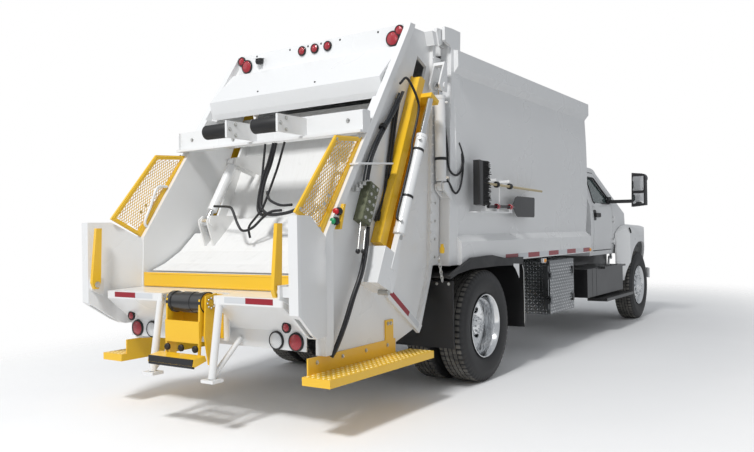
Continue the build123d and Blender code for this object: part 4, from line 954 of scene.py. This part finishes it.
fittings = [rod((LIFT_X, LIFT_Y, z), (1.14, -.585, z), .012, 6) for z in (1.905, 2.57)]
piece("lift_ports", twin(join(*fittings)), ZINC, "lift_cylinder")


def chain(start, end, links=9, wire=.0045):
    """Welded chain: long oval links, every other one turned a quarter."""
    a, b = at_axle([start, end])
    step = (b - a) / links
    along = step / np.linalg.norm(step)
    side = np.array([1.0, 0, 0])
    across = np.cross(along, side)
    shapes = []
    t = np.arange(12) / 12 * 2 * np.pi
    for k in range(links):
        flat = side if k % 2 else across
        centre = a + step * (k + .5)
        line = centre + np.outer(np.cos(t), along) * np.linalg.norm(step) * .66
        line = line + np.outer(np.sin(t), flat) * .011
        shapes.append(ring_line(line, wire, 6, 2))
    return join(*shapes)


piece("lock_chain", chain((1.125, -.775, 1.208), (1.125, -.712, .987)), ZINC, "chassis")
cock = lathe([(-.03, .0005), (-.03, .018), (-.012, .022), (.016, .022), (.03, .014), (.052, .014),
              (.052, .0005)], spot(1.12, -.7, 1.265), "Z", 18)
piece("drain_cock", cock, YELLOW)

# ---- cowl, beam and wing dressing
ends = side_plate([(-1.108, 2.99), (-1.42, 2.692), (-1.398, 2.582), (-1.346, 2.548), (-1.331, 2.562),
                   (-1.331, 2.752), (-1.096, 2.986)], .9665, .9735)
piece("cowl_ends", twin(ends), WHITE)
screws = at_axle([(x, -1.03, 3.174) for x in (-.729, -.303, -.082, .073, .291, .706)])
piece("cowl_screws", round_head(screws, .01, .005), RUBBER)
slope_screws = at_axle([(x, -1.3805, 2.736) for x in (-.397, .274)])
piece("slope_screws", round_head(slope_screws, .01, .007), RUBBER)
beam_bolts = at_axle([(x, -1.74, z) for x, z in ((-.881, 2.3), (-.36, 2.262), (.886, 2.3))])
piece("beam_bolts", hex_heads(beam_bolts, .024, .012, "Y", -1), ZINC)
end_plates = [slab(x, x + .0035, -1.76, -1.655, 2.2, 2.372) for x in (1.036, -1.0395)]
piece("beam_end_plates", placed(join(*end_plates)), WHITE, bevel=.002)
ARM_BOLTS = [(-1.99, 2.335), (-2.055, 2.29), (-1.99, 2.245)]
arm_bolts = at_axle([(x, y, z) for x in (-.0776, .4724) for y, z in ARM_BOLTS])
piece("buffer_bolts", hex_heads(arm_bolts, .022, .01), ZINC)
camera_box = side_plate([(-1.032, 3.09), (-1.075, 3.085), (-1.092, 3.112), (-1.08, 3.142),
                         (-1.032, 3.148)], -.7, -.645)
piece("rear_camera", camera_box, POLY, bevel=.006)
camera_hood = side_plate([(-1.031, 3.15), (-1.1, 3.138), (-1.098, 3.134), (-1.031, 3.145)], -.712, -.633)
piece("camera_hood", camera_hood, WHITE, bevel=.001)
SIDE_FACE_X = 1.0105
GUARD_BOLTS = [(-1.765, 2.158), (-2.05, 2.12), (-2.48, 1.6), (-2.268, 1.46), (-2.16, 1.7), (-2.21, 1.64)]
flange_line = [(SIDE_FACE_X, -.648 + .0604 * (z - 1.13), z) for z in np.arange(1.2, 2.96, .16)]
piece("flange_bolts", twin(hex_heads(at_axle(flange_line), .017, .007)), ZINC)
guard_heads = hex_heads(at_axle([(SIDE_FACE_X, y, z) for y, z in GUARD_BOLTS]), .018, .008)
piece("guard_bolts", twin(guard_heads), ZINC)
sill_beads = [rod((-.93, y, z), (.93, y, z), .004, 8) for y, z in ((-2.2395, 1.11), (-2.2395, 1.014))]
piece("sill_beads", join(*sill_beads), YELLOW)
cap_line = [(0, .024), (-.008, .024), (-.012, .018), (-.012, .0005)]
pin_cap = lathe(cap_line, spot(.9598, -2.69, 1.045), turns=18)
piece("latch_pin_caps", twin(pin_cap), ZINC)

# ---- cart lifter dressing
sleeve = [(-.186, .0725), (-.186, .082), (-.15, .082), (-.146, .0745), (-.06, .0745), (-.056, .079),
          (.056, .079), (.06, .0745), (.146, .0745), (.15, .082), (.186, .082), (.186, .0725),
          (-.186, .0725)]
piece("rotary_sleeve", lathe(sleeve, spot(0, -2.56, .93), "X", 40), BLACK, "cart_lifter")
turns = [k * math.pi / 4 for k in range(8)]
ring_places = [(.2145, -2.56 + .036 * math.cos(turn), .93 + .036 * math.sin(turn)) for turn in turns]
piece("rotary_bolts", twin(hex_heads(at_axle(ring_places), .012, .008)), ZINC)
lip = [(-2.757, .5465), (-2.7699, .5465), (-2.7699, .482), (-2.752, .478), (-2.748, .491), (-2.7655, .5),
       (-2.7655, .515), (-2.757, .54)]
piece("latch_bar_rubber", side_plate(lip, -.24, .24), RUBBER, "cart_lifter", bevel=.003)
pads = [lathe([(0, .026), (-.014, .026), (-.02, .02), (-.02, .0005)], spot(x, -2.6555, z), "Y", 20)
        for x, z in ((-.15, .6), (0.0, .6), (.15, .6))]
piece("lifter_pads", join(*pads), RUBBER, "cart_lifter")

# ---- steps, flaps and lower rail
def raised_rings(x0, x1, y0, y1, z, pitch_x, pitch_y, radius=.013):
    """Pierced buttons of a safety tread: low raised ring at every grid place."""
    x, y = np.meshgrid(np.arange(x0, x1, pitch_x), np.arange(y0, y1, pitch_y), indexing="ij")
    ring = lathe([(0, radius), (.0035, radius * .82), (.0035, radius * .55), (0, radius * .45)],
                 axis="Z", turns=12)
    places = np.stack([x.ravel(), y.ravel(), np.full(x.size, z)], axis=1)
    points = (places[:, None] + ring[0][None]).reshape(-1, 3)
    base = (np.arange(len(places)) * len(ring[0]))[:, None, None]
    faces = (np.array(ring[1])[None] + base).reshape(-1, 4).tolist()
    return points, faces


tread = raised_rings(1.01, 1.21, -2.425 + AXLE_Y, -1.075 + AXLE_Y, .443, .046, .056)
piece("step_buttons", twin(tread), YELLOW_WORN)
STEP_BOLTS = [(-2.3, .52), (-2.0, .52), (-1.7, .52), (-1.4, .52), (-1.385, .69), (-1.345, .69)]
step_heads = hex_heads(at_axle([(.9925, y, z) for y, z in STEP_BOLTS]), .02, .01)
piece("step_bolts", twin(step_heads), ZINC)
flap_bolts = at_axle([(x, -.6655, .965) for x in (.65, .78, .91, 1.04, 1.16)])
front_bolts = at_axle([(x, .9075, 1.035) for x in (.68, .84, 1.0, 1.16)])
flap_heads = hex_heads(flap_bolts, .018, .008, "Y", -1)
front_heads = hex_heads(front_bolts, .018, .008, "Y")
piece("flap_bolts", twin(join(flap_heads, front_heads)), ZINC, "chassis")
HOOK_LINE = [(1.195, .88, 1.06), (1.206, .885, 1.0), (1.206, .886, .9), (1.207, .886, .7),
             (1.206, .886, .45)]
piece("flap_hooks", twin(tube(at_axle(HOOK_LINE), .005, 8)), ZINC, "chassis")
stay = side_plate([(.64, 1.085), (.78, 1.078), (.78, .93), (.69, 1.03), (.64, 1.06)], 1.2005, 1.2035)
piece("fender_brackets", twin(stay), WHITE, "chassis")


def slanted_tape(name, start, end, finish):
    """Tape strip on the lower diagonal rail between two shares of its length."""
    a, b = np.array([-1.385, .955]), np.array([-.915, .605])
    along = (b - a) / np.linalg.norm(b - a)
    across = np.array([-along[1], along[0]]) * .022
    p, q = a + (b - a) * start, a + (b - a) * end
    shape = prism([p - across, q - across, q + across, p + across], "X", 1.01, 1.0115)
    piece(name, placed(twin(shape)), finish)


slanted_tape("rail_tape_red", 0.0, .62, TAPE_RED)
slanted_tape("rail_tape_silver", .62, .95, TAPE_WHITE)
label = side_plate([(-2.2, 1.15), (-2.105, 1.145), (-2.105, .97), (-2.205, .975)], .9805, .9815)
piece("label_plate", label, TAPE_WHITE)
case = side_plate([(1.555, 1.1), (1.65, 1.1), (1.64, 1.05), (1.565, 1.05)], 1.13, 1.166)
piece("side_lamp_cases", twin(case), WHITE, "chassis", bevel=.004)
ambers = [placed(pillow(1.572, 1.633, 1.055, 1.096, 1.166, .012, "X", 1)),
          placed(pillow(3.205, 3.262, 1.13, 1.172, 1.157, .012, "X", 1))]
piece("side_ambers", twin(join(*ambers)), AMBER, "chassis")

# ---- cab dressing
DOOR_FRONT = 4.75
WAIST_Z = 1.74
NOSE_Y = FRONT + .735


def cab_side_x(z):
    """Outer X of the cab's side at height z."""
    return 1.0 - (z - WAIST_Z) * .29


WINDOW = [(3.915, 1.79), (3.925, 2.165), (4.262, 2.165), (4.675, 1.88), (4.675, 1.79)]


def window_seal(rows, inset, radius):
    """Rubber round a side window: rounded corners, lying on the leaning side of the cab."""
    o = np.array(rows)
    middle = o.mean(axis=0)
    o = o + (middle - o) / np.linalg.norm(middle - o, axis=1, keepdims=True) * inset
    dense = []
    for k in range(len(o)):
        before, here, after = o[k - 1], o[k], o[(k + 1) % len(o)]
        dense += [here + (before - here) * .1, here + (before - here) * .02 + (after - here) * .02,
                  here + (after - here) * .1, here + (after - here) * .5]
    dense = np.array(dense)
    line = np.stack([cab_side_x(dense[:, 1]) + .001, dense[:, 0] + AXLE_Y, dense[:, 1]], axis=1)
    return ring_line(line, radius, 8, 3)


seal = window_seal(WINDOW, .004, .011)
piece("door_seal_right", seal, POLY, "door_right_body")
piece("door_seal_left", flip_side(seal), POLY, "door_left_body")


def screen_point(x, z, lift):
    """Point on the windscreen's plane, standing off by `lift`."""
    return (x, 5.185 - (z - WAIST_Z) * 1.4528 + lift * .567 + AXLE_Y, z + lift * .824)


corners = [(-.868, 1.806), (-.3, 1.806), (.3, 1.806), (.868, 1.806), (.8, 2.05), (.742, 2.222),
           (.25, 2.222), (-.25, 2.222), (-.742, 2.222), (-.8, 2.05)]
seal_line = [screen_point(x, z, .001) for x, z in corners]
piece("screen_seal", ring_line(seal_line, .01, 8), POLY, "chassis")
wipers = []
for x0, x1 in ((-.62, -.12), (.1, .6)):
    blade_line = [screen_point(x0, 1.77, .02), screen_point((x0 + x1) / 2, 1.8, .026),
                  screen_point(x1, 1.94, .022)]
    wipers.append(tube(blade_line, .006, 8))
    wipers.append(bar(screen_point(x1 - .22, 1.815, .014), screen_point(x1 + .06, 2.1, .014), .007, 8))
piece("wipers", join(*wipers), POLY, "chassis")
ROOF_Z = 2.331
markers = [pillow(x - .035, x + .035, 4.175, 4.275, ROOF_Z + (.004 if abs(x) < .3 else -.003), .03, "Z",
                  1, 2) for x in (-.62, -.2, 0.0, .2, .62)]
piece("roof_markers", placed(join(*markers)), AMBER, "chassis")
handle = side_plate([(3.89, 1.64), (3.905, 1.648), (4.085, 1.648), (4.1, 1.64), (4.1, 1.588),
                     (3.89, 1.588)], 1.004, 1.042)
cup = side_plate([(3.862, 1.505), (3.862, 1.68), (3.88, 1.692), (3.955, 1.692), (3.975, 1.67),
                  (3.975, 1.515), (3.96, 1.502), (3.88, 1.498)], 1.001, 1.013)
handle = join(handle, cup)
piece("door_handle_right", handle, POLY, "door_right_body", bevel=.006)
piece("door_handle_left", flip_side(handle), POLY, "door_left_body", bevel=.006)
MIRROR_PANES = [(1.325, 1.478, 1.975, 2.185), (1.325, 1.478, 1.785, 1.935)]
PANE_Y = DOOR_FRONT - .0302
panes = join(pillow(*MIRROR_PANES[0], PANE_Y, .004), pillow(*MIRROR_PANES[1], PANE_Y, .012))


def pane_rim(x0, x1, z0, z1, gap=.004):
    """Round rim through the corners and side middles of a pane, a little outside it."""
    x = [x0 - gap, (x0 + x1) / 2, x1 + gap]
    z = [z0 - gap, (z0 + z1) / 2, z1 + gap]
    order = [(0, 0), (1, 0), (2, 0), (2, 1), (2, 2), (1, 2), (0, 2), (0, 1)]
    return ring_line([(x[i], PANE_Y, z[k]) for i, k in order], .006, 8, 4)


rims = join(*[pane_rim(*row) for row in MIRROR_PANES])
for word, turned in (("right", placed), ("left", lambda shape: flip_side(placed(shape)))):
    piece(f"mirror_panes_{word}", turned(panes), MIRROR, f"door_{word}_body")
    piece(f"mirror_rims_{word}", turned(rims), POLY, f"door_{word}_body")
headlamp = placed(pillow(.645, .955, 1.104, 1.236, NOSE_Y, .03, "Y", 1))
piece("headlamp_lenses", twin(headlamp), CLEAR, "hood_body")
bowls = [lathe([(-.04, .01), (-.03, .03), (-.01, .048), (.01, .056)], spot(x, NOSE_Y, 1.17), "Y", 28)
         for x in (.725, .87)]
piece("headlamp_bowls", twin(join(*bowls)), POLISHED, "hood_body")
grille_bars = [rod(*[(x, FRONT + .7705, 1.123 + .066 * k) for x in (-.405, .405)], .008, 10)
               for k in range(4)]
piece("grille_bars", join(*grille_bars), POLISHED, "hood_body")
edge = [(-.425, 1.045), (0, 1.043), (.425, 1.045), (.428, 1.22), (.425, 1.405), (0, 1.408),
        (-.425, 1.405), (-.428, 1.22)]
rim_line = at_axle([(x, FRONT + .776, z) for x, z in edge])
piece("grille_rim", ring_line(rim_line, .01), POLISHED, "hood_body")
cab_step = raised_rings(1.06, 1.255, 3.59 + AXLE_Y, 4.85 + AXLE_Y, .485, .045, .06)
top_step = raised_rings(1.135, 1.22, 3.64 + AXLE_Y, 4.58 + AXLE_Y, .905, .045, .06, .011)
piece("cab_step_buttons", twin(join(cab_step, top_step)), CHASSIS, "chassis")
tank_bands = [slab(.688, 1.1722, y, y + .045, .528, .902) for y in (3.25, 3.42)]
piece("tank_bands", twin(placed(join(*tank_bands))), BLACK, "chassis", bevel=.003)
latch_line = [(1.176, 5.03, 1.43), (1.186, 5.05, 1.395), (1.192, 5.056, 1.35)]
piece("hood_latches", twin(tube(at_axle(latch_line), .012, 10)), RUBBER, "hood_body")


# ---- camera, light and floor
ROOM_COLOUR = (.93, .96, 1.0, 1)
ROOM_STRENGTH = .475
SEEN_COLOUR = (1, 1, 1, 1)
FLOOR_HALF = 60.0


def set_camera():
    """Camera standing behind the right-hand side at head height."""
    lens_data = bpy.data.cameras.new("camera")
    lens_data.lens = 34.951
    lens_data.sensor_width = 36.0
    lens_data.clip_end = 200
    camera = bpy.data.objects.new("camera", lens_data)
    right = (.82739985, .56134352, -.01740515)
    up = (.01923028, .00265567, .99981155)
    back = (.56128396, -.82757864, -.0085975)
    place = (4.24889941, -8.20227105, 1.42867846)
    rows = [[right[i], up[i], back[i], place[i]] for i in range(3)]
    camera.matrix_world = Matrix(rows + [[0, 0, 0, 1]])
    bpy.context.scene.collection.objects.link(camera)
    bpy.context.scene.camera = camera


def soft_light(name, place, aim, size, power):
    """Square soft box at a place, facing a point."""
    data = bpy.data.lights.new(name, "AREA")
    data.size = size
    data.energy = power
    lamp_object = bpy.data.objects.new(name, data)
    toward = Vector(aim) - Vector(place)
    turn = toward.to_track_quat("-Z", "Y").to_matrix().to_4x4()
    lamp_object.matrix_world = Matrix.Translation(place) @ turn
    bpy.context.scene.collection.objects.link(lamp_object)


def light_stage():
    """Even room light, a high key from behind, a weak fill, and white wherever the room is seen."""
    world = bpy.data.worlds.new("studio")
    bpy.context.scene.world = world
    world.use_nodes = True
    nodes, links = world.node_tree.nodes, world.node_tree.links
    nodes.clear()
    out = nodes.new("ShaderNodeOutputWorld")
    glows = []
    for colour, strength in ((ROOM_COLOUR, ROOM_STRENGTH), (SEEN_COLOUR, 1.0)):
        glow = nodes.new("ShaderNodeBackground")
        glow.inputs["Color"].default_value = colour
        glow.inputs["Strength"].default_value = strength
        glows.append(glow.outputs[0])
    path = nodes.new("ShaderNodeLightPath")
    direct = nodes.new("ShaderNodeMath")
    direct.operation = "MAXIMUM"
    share = nodes.new("ShaderNodeMixShader")
    for source, target in ((path.outputs["Is Camera Ray"], direct.inputs[0]),
                           (path.outputs["Is Transmission Ray"], direct.inputs[1]),
                           (direct.outputs[0], share.inputs[0]), (glows[0], share.inputs[1]),
                           (glows[1], share.inputs[2]), (share.outputs[0], out.inputs[0])):
        links.new(source, target)
    soft_light("key", (1.8, -12.9, 12.6), (.3, -1.0, 1.0), 2.2, 1570)
    soft_light("fill", (-9.0, -9.0, 6.0), (0.0, -1.5, 1.5), 8.0, 160)


def lay_floor():
    """Pale matt floor with faint mottling that gives way to the white room away from the truck."""
    mix = Finish("floor", .9)
    cloud = mix.cloud(.8, 4.0)
    mix.colour(mix.ramp(cloud, (.3, (.94, .94, .94)), (.7, (.96, .96, .96))))
    distance = mix.length(mix.vector("MULTIPLY", mix.place, (1.0, .45, 1.0)))
    clear = mix.node("ShaderNodeBsdfTransparent").outputs[0]
    share = mix.node("ShaderNodeMapRange", {"Value": distance, "From Min": 2.5, "From Max": 5.6},
                     interpolation_type="SMOOTHSTEP").outputs["Result"]
    shown = mix.node("ShaderNodeMixShader", {0: share, 1: mix.shader.outputs[0], 2: clear}).outputs[0]
    mix.links.new(shown, mix.nodes["Material Output"].inputs["Surface"])
    corners = [(x * FLOOR_HALF, y * FLOOR_HALF, 0) for x, y in ((-1, -1), (1, -1), (1, 1), (-1, 1))]
    mesh = bpy.data.meshes.new("floor")
    mesh.from_pydata(corners, [], [(0, 1, 2, 3)])
    mesh.materials.append(mix.set())
    floor = bpy.data.objects.new("floor", mesh)
    bpy.context.scene.collection.objects.link(floor)


set_camera()
light_stage()
lay_floor()
bpy.context.scene.view_settings.view_transform = "Standard"
